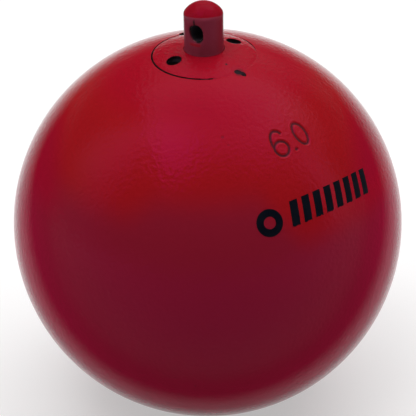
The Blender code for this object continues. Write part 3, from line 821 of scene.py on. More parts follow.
# %% The ball's bore, chamber and lead pocket
THREAD_TOP = 53.4 * MM
THREAD_HIGH = 53.3 * MM
THREAD_ROWS = 78
PLUG_PITCH, PLUG_GROOVE = 1.5 * MM, 0.45 * MM
PAINTED_DEPTH = 2.6 * MM  # below this the spray never reached
CHAMBER_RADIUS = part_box("filler_plug")[1].x + GAP
FILLER_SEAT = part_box("filler_plug")[0].z - GAP
POCKET_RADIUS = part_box("lead_filling")[1].x + GAP
DRILL_POINT = math.radians(31)
POCKET_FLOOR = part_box("lead_filling")[0].z - GAP + POCKET_RADIUS * math.tan(DRILL_POINT)
PLUG_SEAT = PLUG_BOTTOM - GAP
BREAK = 0.15 * MM  # of the machined edges


def stepped_wall(main, notch, outward, low):
    """Rows down a threaded wall. The lock holes end at their floors, where their row closes up."""
    rows = []
    steps = [THREAD_TOP + (low - THREAD_TOP) * k / THREAD_ROWS for k in range(THREAD_ROWS + 1)]
    for level in sorted({*steps, *LOCK_FLOORS}, reverse=True):
        is_open = tuple(level >= floor for floor in LOCK_FLOORS)
        rows.append([(p.x, p.y, level) for p in seam_ring(main, notch, outward, is_open)])
        if level in LOCK_FLOORS:
            is_open = tuple(level > floor for floor in LOCK_FLOORS)
            rows.append([(p.x, p.y, level) for p in seam_ring(main, notch, outward, is_open)])
    return rows


bore_rows = stepped_wall(BORE_RADIUS, LOCK_HOLE_RADIUS, True, PLUG_SEAT)
bore_angles = [math.atan2(y, x) for x, y, _ in bore_rows[-1]]
inner_steps = [
    (CHAMBER_RADIUS + BREAK, PLUG_SEAT),
    (CHAMBER_RADIUS, PLUG_SEAT - BREAK),
    (CHAMBER_RADIUS, FILLER_SEAT),
    (POCKET_RADIUS + BREAK, FILLER_SEAT),
    (POCKET_RADIUS, FILLER_SEAT - BREAK),
    (POCKET_RADIUS, POCKET_FLOOR),
    (POCKET_RADIUS / 2, POCKET_FLOOR - POCKET_RADIUS / 2 * math.tan(DRILL_POINT)),
]
inner_rows = [ring(radius, level, bore_angles) for radius, level in inner_steps]
print("Rings inside the ball:", len(bore_rows) + len(inner_rows))

# %% [markdown]
# ## A weight mark, punched
# A weight mark is punched into the ball before it is painted, one figure at a time, so the paint lies in
# the grooves. The same is done here: the skin gets a dense patch, plain figures are drawn as lines that
# lie on the ball, and a Geometry Nodes tool presses the skin down along them and raises the small burr
# beside them that a punch leaves.

# %% Lay flat drawings on the ball
OVAL_STEPS = 40


def laid_on_ball(x, y, centre, along, up):
    """The point on the ball that a flat drawing's x and y reach from its centre."""
    round_there = centre * math.cos(x / BALL_RADIUS) + along * math.sin(x / BALL_RADIUS)
    return BALL_RADIUS * (round_there * math.cos(y / BALL_RADIUS) + up * math.sin(y / BALL_RADIUS))


def upright(polar, azimuth):
    """Centre, along and up of a drawing that stands upright towards the top of the ball."""
    centre = at_polar(polar, azimuth, 1)
    along = at_polar(90, azimuth + 90, 1)
    return centre, along, centre.cross(along)


def oval(width, height, start, end, middle=0.0):
    """Points on an oval between two angles in degrees."""
    turns = [math.radians(start + (end - start) * k / OVAL_STEPS) for k in range(OVAL_STEPS + 1)]
    return [(width / 2 * math.cos(a), middle + height / 2 * math.sin(a)) for a in turns]


SIX = [*oval(4.5 * MM, 7.6 * MM, 46, 188), *oval(4.4 * MM, 4.3 * MM, 160, 520, -1.6 * MM)]
NOUGHT = oval(3.9 * MM, 6.6 * MM, 0, 360)
POINT = [(-0.16 * MM, 0), (0.16 * MM, 0)]
STAMPS = (  # strokes, polar angle and azimuth in degrees, depth and half width
    (SIX, 40.2, -57.3, 0.30 * MM, 0.52 * MM),
    (POINT, 43.4, -51.2, 0.28 * MM, 0.52 * MM),
    (NOUGHT, 39.9, -45.3, 0.29 * MM, 0.54 * MM),
)
PATCH_AT, PATCH_HALVES, PATCH_CUTS = (40.3, -51.6), (9 * MM, 5.6 * MM), 7
print("Points of the strokes:", sum(len(stamp[0]) for stamp in STAMPS))


# %% Make a dense patch for them
def dense_patch(bm, centre, along, up, halves, cuts):
    """Divide the skin's faces near a place, and bring the new points out onto the sphere."""

    def is_near(spot):
        x = BALL_RADIUS * math.atan2(spot.dot(along), spot.dot(centre))
        y = BALL_RADIUS * math.asin(max(-1, min(1, spot.normalized().dot(up))))
        return abs(x) < halves[0] and abs(y) < halves[1] and spot.length > 0.98 * BALL_RADIUS

    near = [face for face in bm.faces if is_near(face.calc_center_median())]
    edges = list({edge for face in near for edge in face.edges})
    parts = bmesh.ops.subdivide_edges(bm, edges=edges, cuts=cuts, use_grid_fill=True)
    parts = parts["geom_inner"] + parts["geom_split"]
    new = {part for part in parts if isinstance(part, bmesh.types.BMVert)}
    for vert in new:
        vert.co = vert.co.normalized() * BALL_RADIUS
    print(f"Dense patch: {len(near)} faces got {len(new)} more points")


# %% The punch
BURR_END = 2.4  # half widths from the middle of a stroke
punch, given, place = new_tool(
    "punch", Strokes="Object", Depth="Float", Half_Width="Float", Finish="Material"
)
bench = punch
lines = bench.node("GeometryNodeObjectInfo", {"Object": given["Strokes"]}).outputs["Geometry"]
away = bench.node("GeometryNodeProximity", {0: lines}, target_element="EDGES").outputs["Distance"]
share = bench.math("DIVIDE", away, given["Half Width"])
groove = bench.fall(share, 0.3, 1.25)
burr = bench.product(bench.fade(share, 0.95, 1.4), bench.fall(share, 1.4, BURR_END), 0.12)
push = bench.product(bench.math("SUBTRACT", burr, groove), given["Depth"])
push = bench.scaled(bench.vector("NORMALIZE", place), push)
struck = bench.math("LESS_THAN", share, BURR_END)
pressed = bench.moved(given["Geometry"], Offset=push, Selection=struck)
end_tool(bench, pressed, given["Finish"], Selection=struck)

# %% Knit the ball
skin = bmesh.new()
ranks = knit(skin, skin_rows + edge_rows + bore_rows + inner_rows)
close_with(skin, ranks[0][::-1], (0, 0, -BALL_RADIUS))
close_with(skin, ranks[-1], (0, 0, POCKET_FLOOR - POCKET_RADIUS * math.tan(DRILL_POINT)))
dense_patch(skin, *upright(*PATCH_AT), PATCH_HALVES, PATCH_CUTS)
ball = make_object("hammer_ball", skin, (ball_enamel, machined_iron))


def leave_bare(obj, is_bare):
    """Faces that the spray never reached take the second material."""
    for face in obj.data.polygons:
        if is_bare(face.center):
            face.material_index = 1


leave_bare(ball, lambda spot: spot.length < BALL_RADIUS - PAINTED_DEPTH)

# %% Punch the mark and cut the thread
drawings = []
for strokes, polar, azimuth, depth, half_width in STAMPS:
    lines = bpy.data.meshes.new("strokes")
    points = [laid_on_ball(x, y, *upright(polar, azimuth)) for x, y in strokes]
    lines.from_pydata(points, [(k, k + 1) for k in range(len(points) - 1)], [])
    drawings.append(new_object("strokes", lines))
    run_tool(ball, punch, Strokes=drawings[-1], Depth=depth, Half_Width=half_width, Finish=ball_enamel)
cut_thread(ball, BORE_RADIUS, PLUG_PITCH, PLUG_GROOVE, PLUG_SEAT + MM, THREAD_HIGH, machined_iron)
settle(ball)
for drawing in drawings:
    bpy.data.objects.remove(drawing)

# %% [markdown]
# ## The housing plug
# The plug was turned with the ball's own radius on top, so that it sits flush, and drilled with two holes
# for a pin spanner. Its top has a notched rim, a throat and two holes, which no stack of rings can
# follow, so it is filled flat and lifted onto the sphere. Everything below the skin is rings again.

# %% The plug's top
TOP_SPACING = 0.62 * MM  # between the points of its triangles
plug_skin = bmesh.new()
plug_edge = rounded_edge(PLUG_RADIUS, LOCK_HOLE_RADIUS, -1)
rim = seam_ring(PLUG_RADIUS - SEAM_ROUND, LOCK_HOLE_RADIUS + SEAM_ROUND, False)
throat_turns = even_angles(96)
hole_turns = even_angles(48)
throat_loop = [on_circle(THROAT_RADIUS + HOLE_ROUND, a) for a in throat_turns]
hole_centres = [on_circle(SPANNER_CIRCLE, angle) for angle in SPANNER_ANGLES]
HOLE_REACH = SPANNER_HOLE_RADIUS + HOLE_ROUND
hole_loops = [[spot[:2] for spot in ring(HOLE_REACH, 0, hole_turns, middle)] for middle in hole_centres]
top_holes = [(Vector(middle), HOLE_REACH) for middle in hole_centres]
top_holes += [(Vector(on_circle(SEAM_RADIUS, a)), LOCK_HOLE_RADIUS + SEAM_ROUND) for a in LOCK_ANGLES]


def on_plug_top(spot, margin):
    """Whether a flat point lies on the plug's top, at least a margin from its edges."""
    if not THROAT_RADIUS + HOLE_ROUND + margin < spot.length < PLUG_RADIUS - SEAM_ROUND - margin:
        return False
    return all((spot - middle).length >= reach + margin for middle, reach in top_holes)


def onto_ball(spot):
    return (spot.x, spot.y, skin_level(spot.length))


fill_sheet(plug_skin, rim, [throat_loop, *hole_loops], TOP_SPACING, on_plug_top, onto_ball)
print("Triangles on the plug's top:", len(plug_skin.faces))

# %% The plug's spanner holes
LIP_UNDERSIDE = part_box("dust_seal")[1].z + GAP
BUSH_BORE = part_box("spindle_bush")[1].x + GAP
POCKET_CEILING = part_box("upper_race")[1].z + GAP
BEARING_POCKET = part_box("upper_race")[1].x + GAP
HOLE_EDGE_STEPS = 4


def sunk_round(centre, radius, angles):
    """Rows from the skin over a round edge into an upright round hole."""
    rows = []
    for j in range(HOLE_EDGE_STEPS + 1):
        turn = math.pi / 2 * (1 - j / HOLE_EDGE_STEPS)
        reach = radius + HOLE_ROUND * (1 - math.cos(turn))
        drop = HOLE_ROUND * (1 - math.sin(turn))
        spots = ring(reach, 0, angles, centre)
        rows.append([(x, y, skin_level(math.hypot(x, y)) - drop) for x, y, _ in spots])
    return rows


PAINTED_HOLE_DEPTH = 1.5 * MM
floor = skin_level(SPANNER_CIRCLE) - SPANNER_HOLE_DEPTH
for middle in hole_centres:
    rows = sunk_round(middle, SPANNER_HOLE_RADIUS, hole_turns)
    painted_end = skin_level(SPANNER_CIRCLE) - PAINTED_HOLE_DEPTH
    rows.append(ring(SPANNER_HOLE_RADIUS, painted_end, hole_turns, middle))
    rows.append(ring(SPANNER_HOLE_RADIUS, floor + BREAK, hole_turns, middle))
    rows.append(ring(SPANNER_HOLE_RADIUS - BREAK, floor, hole_turns, middle))
    drilled = knit(plug_skin, rows)
    close_with(plug_skin, drilled[-1], (*middle, floor))
print("Faces with the spanner holes:", len(plug_skin.faces))

# %% The plug's walls
wall_rows = stepped_wall(PLUG_RADIUS, LOCK_HOLE_RADIUS, False, PLUG_BOTTOM + BREAK)
wall_angles = [math.atan2(y, x) for x, y, _ in wall_rows[-1]]
wall_rows.append(ring(PLUG_RADIUS - BREAK, PLUG_BOTTOM, wall_angles))
knit(plug_skin, plug_edge + wall_rows)

inside = sunk_round((0, 0), THROAT_RADIUS, throat_turns)
for radius, level in (
    (THROAT_RADIUS, skin_level(THROAT_RADIUS) - 1.2 * MM),
    (THROAT_RADIUS, LIP_UNDERSIDE),
    (BUSH_BORE, LIP_UNDERSIDE),
    (BUSH_BORE, POCKET_CEILING + BREAK),
    (BUSH_BORE + BREAK, POCKET_CEILING),
    (BEARING_POCKET, POCKET_CEILING),
    (BEARING_POCKET, PLUG_BOTTOM + BREAK),
    (BEARING_POCKET + BREAK, PLUG_BOTTOM),
):
    inside.append(ring(radius, level, throat_turns))
knit(plug_skin, inside)
print("Faces on the plug:", len(plug_skin.faces))


# %% The plug's lower end and thread
def between_walls(spot, margin):
    return BEARING_POCKET + BREAK + margin < spot.length < PLUG_RADIUS - BREAK - margin


def onto_lower_end(spot):
    return (spot.x, spot.y, PLUG_BOTTOM)


LOWER_END_SPACING = 1.3 * MM
outer_loop = [on_circle(PLUG_RADIUS - BREAK, a) for a in wall_angles]
inner_loop = [on_circle(BEARING_POCKET + BREAK, a) for a in throat_turns]
fill_sheet(plug_skin, outer_loop, [inner_loop], LOWER_END_SPACING, between_walls, onto_lower_end)
plug = make_object("screwed_plug", plug_skin, (plug_enamel, machined_iron))


def is_bare_in_plug(spot):
    """Whether a point is out of the spray's reach. The throat's wall counts as painted."""
    return spot.length < BALL_RADIUS - PAINTED_DEPTH and spot.xy.length > SPINDLE_RADIUS + 0.6 * MM


leave_bare(plug, is_bare_in_plug)
cut_thread(
    plug, PLUG_RADIUS, PLUG_PITCH, -PLUG_GROOVE, PLUG_BOTTOM + 0.5 * MM, THREAD_HIGH, machined_iron
)
settle(plug)

# %% [markdown]
# ## Paint in the seam
# The spray ran into the narrow seam and closed most of it. Only at the left does the gap stay open as a
# black line. Elsewhere the paint film dips a little, wrinkles or shows a hairline. The film is a strip
# that follows the seam, and how far it sags changes with the angle. The front lock hole is nearly filled:
# its film broke in two small pits over the screw.

# %% How the film sags round the seam
SAG = (  # angle in degrees, sag in mm, how much of it is a double wrinkle
    (-99, 0.62, 0), (-96.5, 0.5, 0), (-94, 0.24, 0), (-89, 0.12, 0), (-86.8, 0.12, 0), (-86, 0.6, 0),
    (-82, 0.6, 0), (-81, 0.05, 0), (-70, 0.03, 0), (8, 0.03, 0), (11, 0.1, 0), (23, 0.14, 0), (25, 0.42, 0),
    (39, 0.42, 0), (41, 0.2, 1), (66, 0.22, 1), (70, 0.1, 0.5), (98, 0.14, 0), (118, 0.36, 0),
    (124.5, 0.36, 0), (126.5, 0.62, 0),
)
FILM_HALF = 0.36 * MM
FILM_STEPS = 12
FILM_DEGREES = 0.75  # along the seam, from one section to the next
FILM_BACK = 0.9 * MM
FILM_SUNK = 0.014  # mm from the skin down to the film's rim, so that no two faces coincide


def sag_at(angle):
    """Sag and wrinkle at an angle in degrees."""
    for (a, sag_a, fold_a), (b, sag_b, fold_b) in zip(SAG, SAG[1:]):
        if a <= angle <= b:
            share = (angle - a) / (b - a)
            return sag_a + (sag_b - sag_a) * share, fold_a + (fold_b - fold_a) * share
    return SAG[0][1], 0


def film_section(angle):
    """Points across the film at an angle: the dipped top and a flat back well down in the seam."""
    sag, fold = sag_at(angle)
    turn = math.radians(angle)
    waver = 0.03 * MM * math.sin(7.3 * turn) + 0.02 * MM * math.sin(23.1 * turn)
    points = []
    for k in range(FILM_STEPS + 1):
        across = 2 * k / FILM_STEPS - 1
        dip = math.cos(min(abs(across) * 1.25, 1) * math.pi / 2) ** 2
        ridges = math.cos(min(abs(abs(across) - 0.45) / 0.3, 1) * math.pi / 2) ** 2
        radius = SEAM_RADIUS + waver + across * (FILM_HALF + 0.03 * MM)
        low = (FILM_SUNK + sag * (dip * (1 - fold) + ridges * fold)) * MM
        points.append((*on_circle(radius, turn), skin_level(radius) - low))
    for across in (1, -1):
        radius = SEAM_RADIUS + across * (FILM_HALF - 0.22 * MM)
        points.append((*on_circle(radius, turn), skin_level(radius) - FILM_BACK))
    return points


# %% Paint film along the seam
def film_strip(bm, start, end):
    """A closed strip of paint between two angles in degrees."""
    count = round((end - start) / FILM_DEGREES)
    ranks = knit(bm, [film_section(start + (end - start) * k / count) for k in range(count + 1)])
    bm.faces.new(ranks[0][::-1])
    bm.faces.new(ranks[-1])


film = bmesh.new()
FRONT_HOLE, REAR_HOLE = (math.degrees(angle) for angle in LOCK_ANGLES)
HOLE_HALF = math.degrees(LOCK_HOLE_RADIUS / SEAM_RADIUS)
CLEAR_OF_HOLE = 0.3  # degrees more at the open hole at the back
film_strip(film, SAG[0][0], FRONT_HOLE - HOLE_HALF)
film_strip(film, FRONT_HOLE + HOLE_HALF, REAR_HOLE - HOLE_HALF - CLEAR_OF_HOLE)
film_strip(film, REAR_HOLE + HOLE_HALF + CLEAR_OF_HOLE, SAG[-1][0])
seam_film = make_object("seam_paint", film, (plug_enamel,), 60)

# %% Paint over the front lock screw
FILL_RADIUS = LOCK_HOLE_RADIUS + SEAM_ROUND + 0.02 * MM
FILL_CENTRE = Vector(on_circle(SEAM_RADIUS, LOCK_ANGLES[0]))
PITS = (  # x and y from the hole's centre, half width and half depth, slant in degrees, how deep, in mm
    (-0.45, 0.1, 1.02, 0.8, 8, 0.22),
    (0.92, -0.3, 0.9, 0.7, -38, 0.26),
    (1.12, -0.72, 0.6, 0.5, -30, 0.6),
)


def onto_fill(spot):
    """The paint's level over the hole, with the pits."""
    away = (spot - FILL_CENTRE) / MM
    low = FILM_SUNK + 0.1 * max(0.0, 1 - (away.length * MM / FILL_RADIUS) ** 2)
    for x, y, half_width, half_depth, slant, deep in PITS:
        off = away - Vector((x, y))
        off.rotate(Matrix.Rotation(-math.radians(slant), 2))
        reach = math.hypot(off.x / half_width, off.y / half_depth)
        if reach < 1.25:
            low = max(low, FILM_SUNK + deep * min(1, (1.25 - reach) / 0.4) ** 1.5)
    return (spot.x, spot.y, skin_level(spot.length) - low * MM)


def over_hole(spot, margin):
    return (spot - FILL_CENTRE).length < FILL_RADIUS - margin


FILL_SPACING = 0.12 * MM
FILL_BACK = 1.2 * MM
fill = bmesh.new()
fill_turns = even_angles(80)
fill_loop = [FILL_CENTRE + Vector(on_circle(FILL_RADIUS, a)) for a in fill_turns]
fill_sheet(fill, fill_loop, [], FILL_SPACING, over_hole, onto_fill)
skirt = [[onto_fill(spot) for spot in fill_loop]]
for reach, down in ((LOCK_HOLE_RADIUS - 0.03 * MM, 0.3 * MM), (LOCK_HOLE_RADIUS - 0.05 * MM, FILL_BACK)):
    spots = [FILL_CENTRE + Vector(on_circle(reach, a)) for a in fill_turns]
    skirt.append([(p.x, p.y, skin_level(p.length) - down) for p in spots])
skirt_ranks = knit(fill, skirt)
close_with(fill, skirt_ranks[-1], (*FILL_CENTRE, skin_level(SEAM_RADIUS) - FILL_BACK))
hole_film = make_object("front_hole_paint", fill, (plug_enamel,), 60)

# %% [markdown]
# ## A printed mark
# Below the weight mark the ball carries a screen-printed band in black, a plain ring and a row of slanted
# bars. Ink stands on the paint as a film, so it is thin geometry, not colour. Geometry Nodes make one
# bar, repeat it along a line, add the ring, fray the lower edges as a worn screen does, give the film
# its thickness and wrap it round the ball.

# %% A printing tool that repeats a bar
printer, given, place = new_tool(
    "printer", Bars="Int", Bar_Width="Float", Bar_Step="Float", Height="Float", Slant="Float",
    First_Bar="Float", Ring_At="Float", Ring_Radius="Float", Ring_Stroke="Float", Film="Float",
    Ball_Radius="Float", Centre="Vector", Along="Vector", Up="Vector", Ink="Material",
)
bench = printer
bar_size = {"Size X": given["Bar Width"], "Size Y": given["Height"], "Vertices X": 10, "Vertices Y": 29}
bar = bench.node("GeometryNodeMeshGrid", bar_size).outputs["Mesh"]
first_bar = bench.joined(given["First Bar"], 0.0, 0.0)
bar_step = bench.joined(given["Bar Step"], 0.0, 0.0)
row = {"Count": given["Bars"], "Start Location": first_bar, "Offset": bar_step}
bars = bench.copies(bench.node("GeometryNodeMeshLine", row).outputs["Mesh"], bar)
print("Nodes that repeat the bar:", len(bench.tree.nodes))

# %% Fray and slant the bars
spot = bench.parts(place)
lowest = bench.math("DIVIDE", spot["Y"], given["Height"])
frayed = bench.product(
    bench.fall(lowest, -0.5, -0.34),
    bench.math("SUBTRACT", bench.noise(place, 2600, 2, 0.7), 0.45),
    1.3 * MM,
)
ragged = bench.product(bench.math("SUBTRACT", bench.noise(place, 1700, 2, 0.6), 0.5), 0.12 * MM)
leaning = bench.math("ADD", bench.product(spot["Y"], given["Slant"]), ragged)
bars = bench.moved(bars, Offset=bench.joined(leaning, bench.math("ADD", frayed, ragged), 0.0))
print("Nodes so far:", len(bench.tree.nodes))

# %% Bend a strip into the ring
ring_size = {"Size X": 2 * math.pi, "Size Y": 1.0, "Vertices X": 97, "Vertices Y": 9}
disc = bench.node("GeometryNodeMeshGrid", ring_size).outputs["Mesh"]
reach = bench.math("SUBTRACT", given["Ring Radius"], bench.product(spot["Y"], given["Ring Stroke"]))
ring_x = bench.math("ADD", given["Ring At"], bench.product(reach, bench.math("COSINE", spot["X"])))
ring_y = bench.product(reach, bench.math("SINE", spot["X"]))
disc = bench.merged(bench.moved(disc, Position=bench.joined(ring_x, ring_y, 0.0)))
disc = bench.moved(disc, Offset=bench.joined(ragged, ragged, 0.0))
print("Nodes so far:", len(bench.tree.nodes))

# %% Give the film its thickness and wrap it round the ball
SUNK_SHARE = 0.4  # of the film that lies in the paint
flat = bench.sum(bars, disc)
inputs = {"Mesh": flat, "Offset": (0, 0, 1), "Offset Scale": given["Film"], "Individual": False}
top = bench.node("GeometryNodeExtrudeMesh", inputs).outputs["Mesh"]
film = bench.merged(bench.sum(top, bench.node("GeometryNodeFlipFaces", {"Mesh": flat}).outputs[0]))
around = bench.math("DIVIDE", spot["X"], given["Ball Radius"])
upward = bench.math("DIVIDE", spot["Y"], given["Ball Radius"])
way = bench.swung(bench.swung(given["Centre"], given["Along"], around), given["Up"], upward)
sunk = bench.math("MULTIPLY", given["Film"], SUNK_SHARE)
level = bench.math("SUBTRACT", bench.math("ADD", given["Ball Radius"], spot["Z"]), sunk)
end_tool(bench, bench.moved(film, Position=bench.scaled(way, level)), given["Ink"])

# %% Print the band
band_left, band_right = at_polar(61.4, -76.1), at_polar(61.5, -28.3)
band_centre = (band_left + band_right).normalized()
band_along = (band_right - band_left).normalized()
printed = new_object("printed_band", bpy.data.meshes.new("printed_band"))
run_tool(
    printed, printer, Bars=8, Bar_Width=2.55 * MM, Bar_Step=3.95 * MM, Height=7 * MM, Slant=0.2,
    First_Bar=-8.0 * MM, Ring_At=-15.9 * MM, Ring_Radius=2.75 * MM, Ring_Stroke=2.1 * MM,
    Film=0.045 * MM, Ball_Radius=BALL_RADIUS, Centre=band_centre, Along=band_along,
    Up=band_centre.cross(band_along), Ink=black_ink,
)
settle(printed, 60)

# %% [markdown]
# ## The spindle
# The swivel's spindle is one steel bar. Its crown is rounded, an eye for the wire goes through below it,
# and its hidden end has a thread and a pin hole. Wire has to lie in the eye without a sharp edge, so the
# eye is taller than it is wide and its mouths are rounded. Paint lies in a small fillet round its foot.

# %% Sizes of the spindle
CROWN_ROUND = 1.45 * MM
CAP_HEIGHT = 3.1 * MM
EYE_HALVES = (EYE_HALF_WIDTH, EYE_HALF_HEIGHT)
EYE_MOUTHS = (0.55 * MM, 0.95 * MM)  # how far the rounding reaches sideways and upright
PAINT_BLEND = 0.3 * MM  # over which paint softens the eye's edge
PAINT_FILLET = 0.1 * MM  # of paint round the spindle's foot
SHANK_RADIUS = SPINDLE_RADIUS - 0.5 * MM
PIN_HOLE_RADIUS = 1.45 * MM
PIN_HALVES = (PIN_HOLE_RADIUS, PIN_HOLE_RADIUS)
PIN_MOUTHS = (0.1 * MM, 0.12 * MM)
SLOT_DEPTH = 3.7 * MM  # of the castle nut, whose slots end level with the pin hole
PIN_LEVEL = (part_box("castle_nut")[0].z + SLOT_DEPTH) - PIN_HOLE_RADIUS
BAND_LOW, BAND_HIGH = 60.0 * MM, 68.42 * MM  # the side round the eye
PIN_LOW, PIN_HIGH = PIN_LEVEL - 1.9 * MM, PIN_LEVEL + 1.9 * MM  # and round the pin hole
EYE_REACH, PIN_REACH = 1.2 * MM, 0.2 * MM  # how far from each hole the bar's side is shaped
EYE_SPACING, PIN_SPACING = 0.3 * MM, 0.24 * MM  # between the points of the triangles there
PAINTED_RADIUS = SPINDLE_RADIUS + PAINT_COAT
SPINDLE_SIDES = 132
SPINDLE_SEAM = EYE_ANGLE + math.pi / 2  # where its side is cut open to be filled flat
spindle_turns = [SPINDLE_SEAM + a for a in even_angles(SPINDLE_SIDES)]
print(f"Pin hole {1000 * PIN_LEVEL:.2f} mm up, shank {2000 * SHANK_RADIUS:.2f} mm thick")

# %% The spindle's crown
CROWN_EDGE_STEPS, CAP_STEPS = 9, 14


def crown_points():
    """Points (r, z) from the spindle's side round the edge and over the cap, short of the axis."""
    cap_radius = (PAINTED_RADIUS**2 + CAP_HEIGHT**2) / (2 * CAP_HEIGHT)
    cap_centre = SPINDLE_TOP - cap_radius
    edge_r = PAINTED_RADIUS - CROWN_ROUND
    edge_z = cap_centre + math.sqrt((cap_radius - CROWN_ROUND) ** 2 - edge_r**2)
    meeting = math.atan2(edge_z - cap_centre, edge_r)
    points = []
    for i in range(CROWN_EDGE_STEPS + 1):
        turn = meeting * i / CROWN_EDGE_STEPS
        points.append((edge_r + CROWN_ROUND * math.cos(turn), edge_z + CROWN_ROUND * math.sin(turn)))
    for i in range(1, CAP_STEPS):
        turn = meeting + (math.pi / 2 - meeting) * i / CAP_STEPS
        points.append((cap_radius * math.cos(turn), cap_centre + cap_radius * math.sin(turn)))
    return points


crown = crown_points()
print(f"The crown starts at {1000 * crown[0][1]:.2f} mm and ends at {1000 * SPINDLE_TOP:.2f} mm")


# %% A cross hole through a round bar
def smooth_minimum(a, b, width):
    """The lower of two heights, rounded over a width where they are nearly equal."""
    near = max(width - abs(a - b), 0) / width
    return min(a, b) - near * near * width / 4


REACH_SHARES = (
    1, 0.88, 0.77, 0.67, 0.58, 0.5, 0.43, 0.36, 0.3, 0.24, 0.18, 0.13, 0.09, 0.055, 0.03, 0.012, 0
)


def cross_hole_rows(bar, halves, mouths, soft, level, angle, reach, turns):
    """Rows from the bar's side into an oval cross hole, through it and out at the other side."""
    forward = Vector((*on_circle(1, angle), 0))
    across = Vector((-forward.y, forward.x, 0))
    steps = [reach * share for share in REACH_SHARES]

    def side_level(width):
        return math.sqrt(bar**2 - width**2)

    def height(step, turn):
        """How far from the bar's axis the surface lies, a step outside the hole's wall."""
        mouth = mouths[0] + (mouths[1] - mouths[0]) * math.sin(turn) ** 2
        side = side_level((halves[0] + step) * math.cos(turn))
        if step == reach:
            return side
        edge = side_level((halves[0] + mouth) * math.cos(turn))
        if step < mouth:
            return smooth_minimum(side, edge - mouth + math.sqrt(mouth**2 - (mouth - step) ** 2), soft)
        return smooth_minimum(side, edge + 1.5 * (step - mouth), soft)

    def spot(depth, step, turn):
        return (depth, (halves[0] + step) * math.cos(turn), (halves[1] + step) * math.sin(turn))

    half = [[spot(height(step, a), step, a) for a in turns] for step in steps]
    half += [[spot(depth * bar, 0, a) for a in turns] for depth in (0.55, 0.2)]
    rows = half + [[(-s, x, y) for s, x, y in row] for row in reversed(half)]
    up = Vector((0, 0, 1))
    return [[forward * s + across * x + up * (level + y) for s, x, y in row] for row in rows]


# %% Fill the bar's side round the hole
def unrolled(point, radius):
    """A point on a round bar as (length round it from the seam, height)."""
    turn = (math.atan2(point[1], point[0]) - SPINDLE_SEAM) % (2 * math.pi)
    return (radius * turn, point[2])


def band_with_hole(bm, radius, low, high, level, angle, outer, rows, spacing):
    """The bar's side between two levels, filled round both mouths of a cross hole."""
    count = round((high - low) / spacing)
    levels = [low + (high - low) * i / count for i in range(count)]
    length = 2 * math.pi * radius
    bottom = [(length * i / SPINDLE_SIDES, low) for i in range(SPINDLE_SIDES)]
    right = [(length, z) for z in levels]
    top = [(length * (1 - i / SPINDLE_SIDES), high) for i in range(SPINDLE_SIDES)]
    left = [(0.0, low + high - z) for z in levels]
    mouths = [[unrolled(point, radius) for point in row] for row in (rows[0], rows[-1])]

    def on_band(spot, margin):
        if not (margin < spot.x < length - margin and low + margin < spot.y < high - margin):
            return False
        aside = radius * math.sin(spot.x / radius + SPINDLE_SEAM - angle)
        return math.hypot(aside / (outer[0] + margin), (spot.y - level) / (outer[1] + margin)) > 1

    def onto_bar(spot):
        return (*on_circle(radius, SPINDLE_SEAM + spot.x / radius), spot.y)

    fill_sheet(bm, bottom + right + top + left, mouths, spacing, on_band, onto_bar)


# %% The spindle's cross holes
spindle_skin = bmesh.new()
eye_rows = cross_hole_rows(
    PAINTED_RADIUS, EYE_HALVES, EYE_MOUTHS, PAINT_BLEND, EYE_LEVEL, EYE_ANGLE, EYE_REACH, even_angles(96)
)
pin_rows = cross_hole_rows(
    SHANK_RADIUS, PIN_HALVES, PIN_MOUTHS, 0.05 * MM, PIN_LEVEL, 0, PIN_REACH, even_angles(48)
)
knit(spindle_skin, eye_rows)
knit(spindle_skin, pin_rows)
band_with_hole(
    spindle_skin, PAINTED_RADIUS, BAND_LOW, BAND_HIGH, EYE_LEVEL, EYE_ANGLE,
    [half + EYE_REACH for half in EYE_HALVES], eye_rows, EYE_SPACING,
)
band_with_hole(
    spindle_skin, SHANK_RADIUS, PIN_LOW, PIN_HIGH, PIN_LEVEL, 0,
    [half + PIN_REACH for half in PIN_HALVES], pin_rows, PIN_SPACING,
)
print("Faces round the cross holes:", len(spindle_skin.faces))

# %% Turn the spindle
SHANK_PITCH, SHANK_GROOVE = 1.25 * MM, 0.32 * MM
SHANK_THREAD_HIGH = 33.4 * MM
SHANK_RINGS = 41
FILLET_STEPS = 9
THREAD_STEP = 0.2 * MM  # between the rings that a thread is cut into
foot = skin_level(SPINDLE_RADIUS)
side = [(PAINTED_RADIUS, BAND_HIGH), *crown]
lower = [
    (SPINDLE_RADIUS, POCKET_CEILING + BREAK),
    (SPINDLE_RADIUS, foot - 2 * MM),
    (PAINTED_RADIUS, foot - 0.4 * MM),
]
for k in range(FILLET_STEPS + 1):
    swell = PAINT_FILLET * (1 - k / FILLET_STEPS) ** 2.2
    lower.append((PAINTED_RADIUS + swell, foot + 0.03 * MM + k * 0.055 * MM))
lower += [(PAINTED_RADIUS, BAND_LOW - 1.2 * MM), (PAINTED_RADIUS, BAND_LOW)]
threaded = [(SHANK_RADIUS, PIN_HIGH + THREAD_STEP * k) for k in range(SHANK_RINGS)]
shank = [*threaded, (SHANK_RADIUS, POCKET_CEILING), (SPINDLE_RADIUS - BREAK, POCKET_CEILING), *lower]
tip = [(SHANK_RADIUS - MM, SHANK_END), (SHANK_RADIUS, SHANK_END + MM), (SHANK_RADIUS, PIN_LOW)]
crown_rank = knit(spindle_skin, [ring(r, z, spindle_turns) for r, z in side])[-1]
knit(spindle_skin, [ring(r, z, spindle_turns) for r, z in shank])
tip_rank = knit(spindle_skin, [ring(r, z, spindle_turns) for r, z in tip])[0]
close_with(spindle_skin, crown_rank, (0, 0, SPINDLE_TOP))
close_with(spindle_skin, tip_rank, (0, 0, SHANK_END))
spindle = make_object("swivel_spindle", spindle_skin, (spindle_enamel, spindle_steel), 40)
leave_bare(spindle, lambda spot: spot.z < foot - MM)
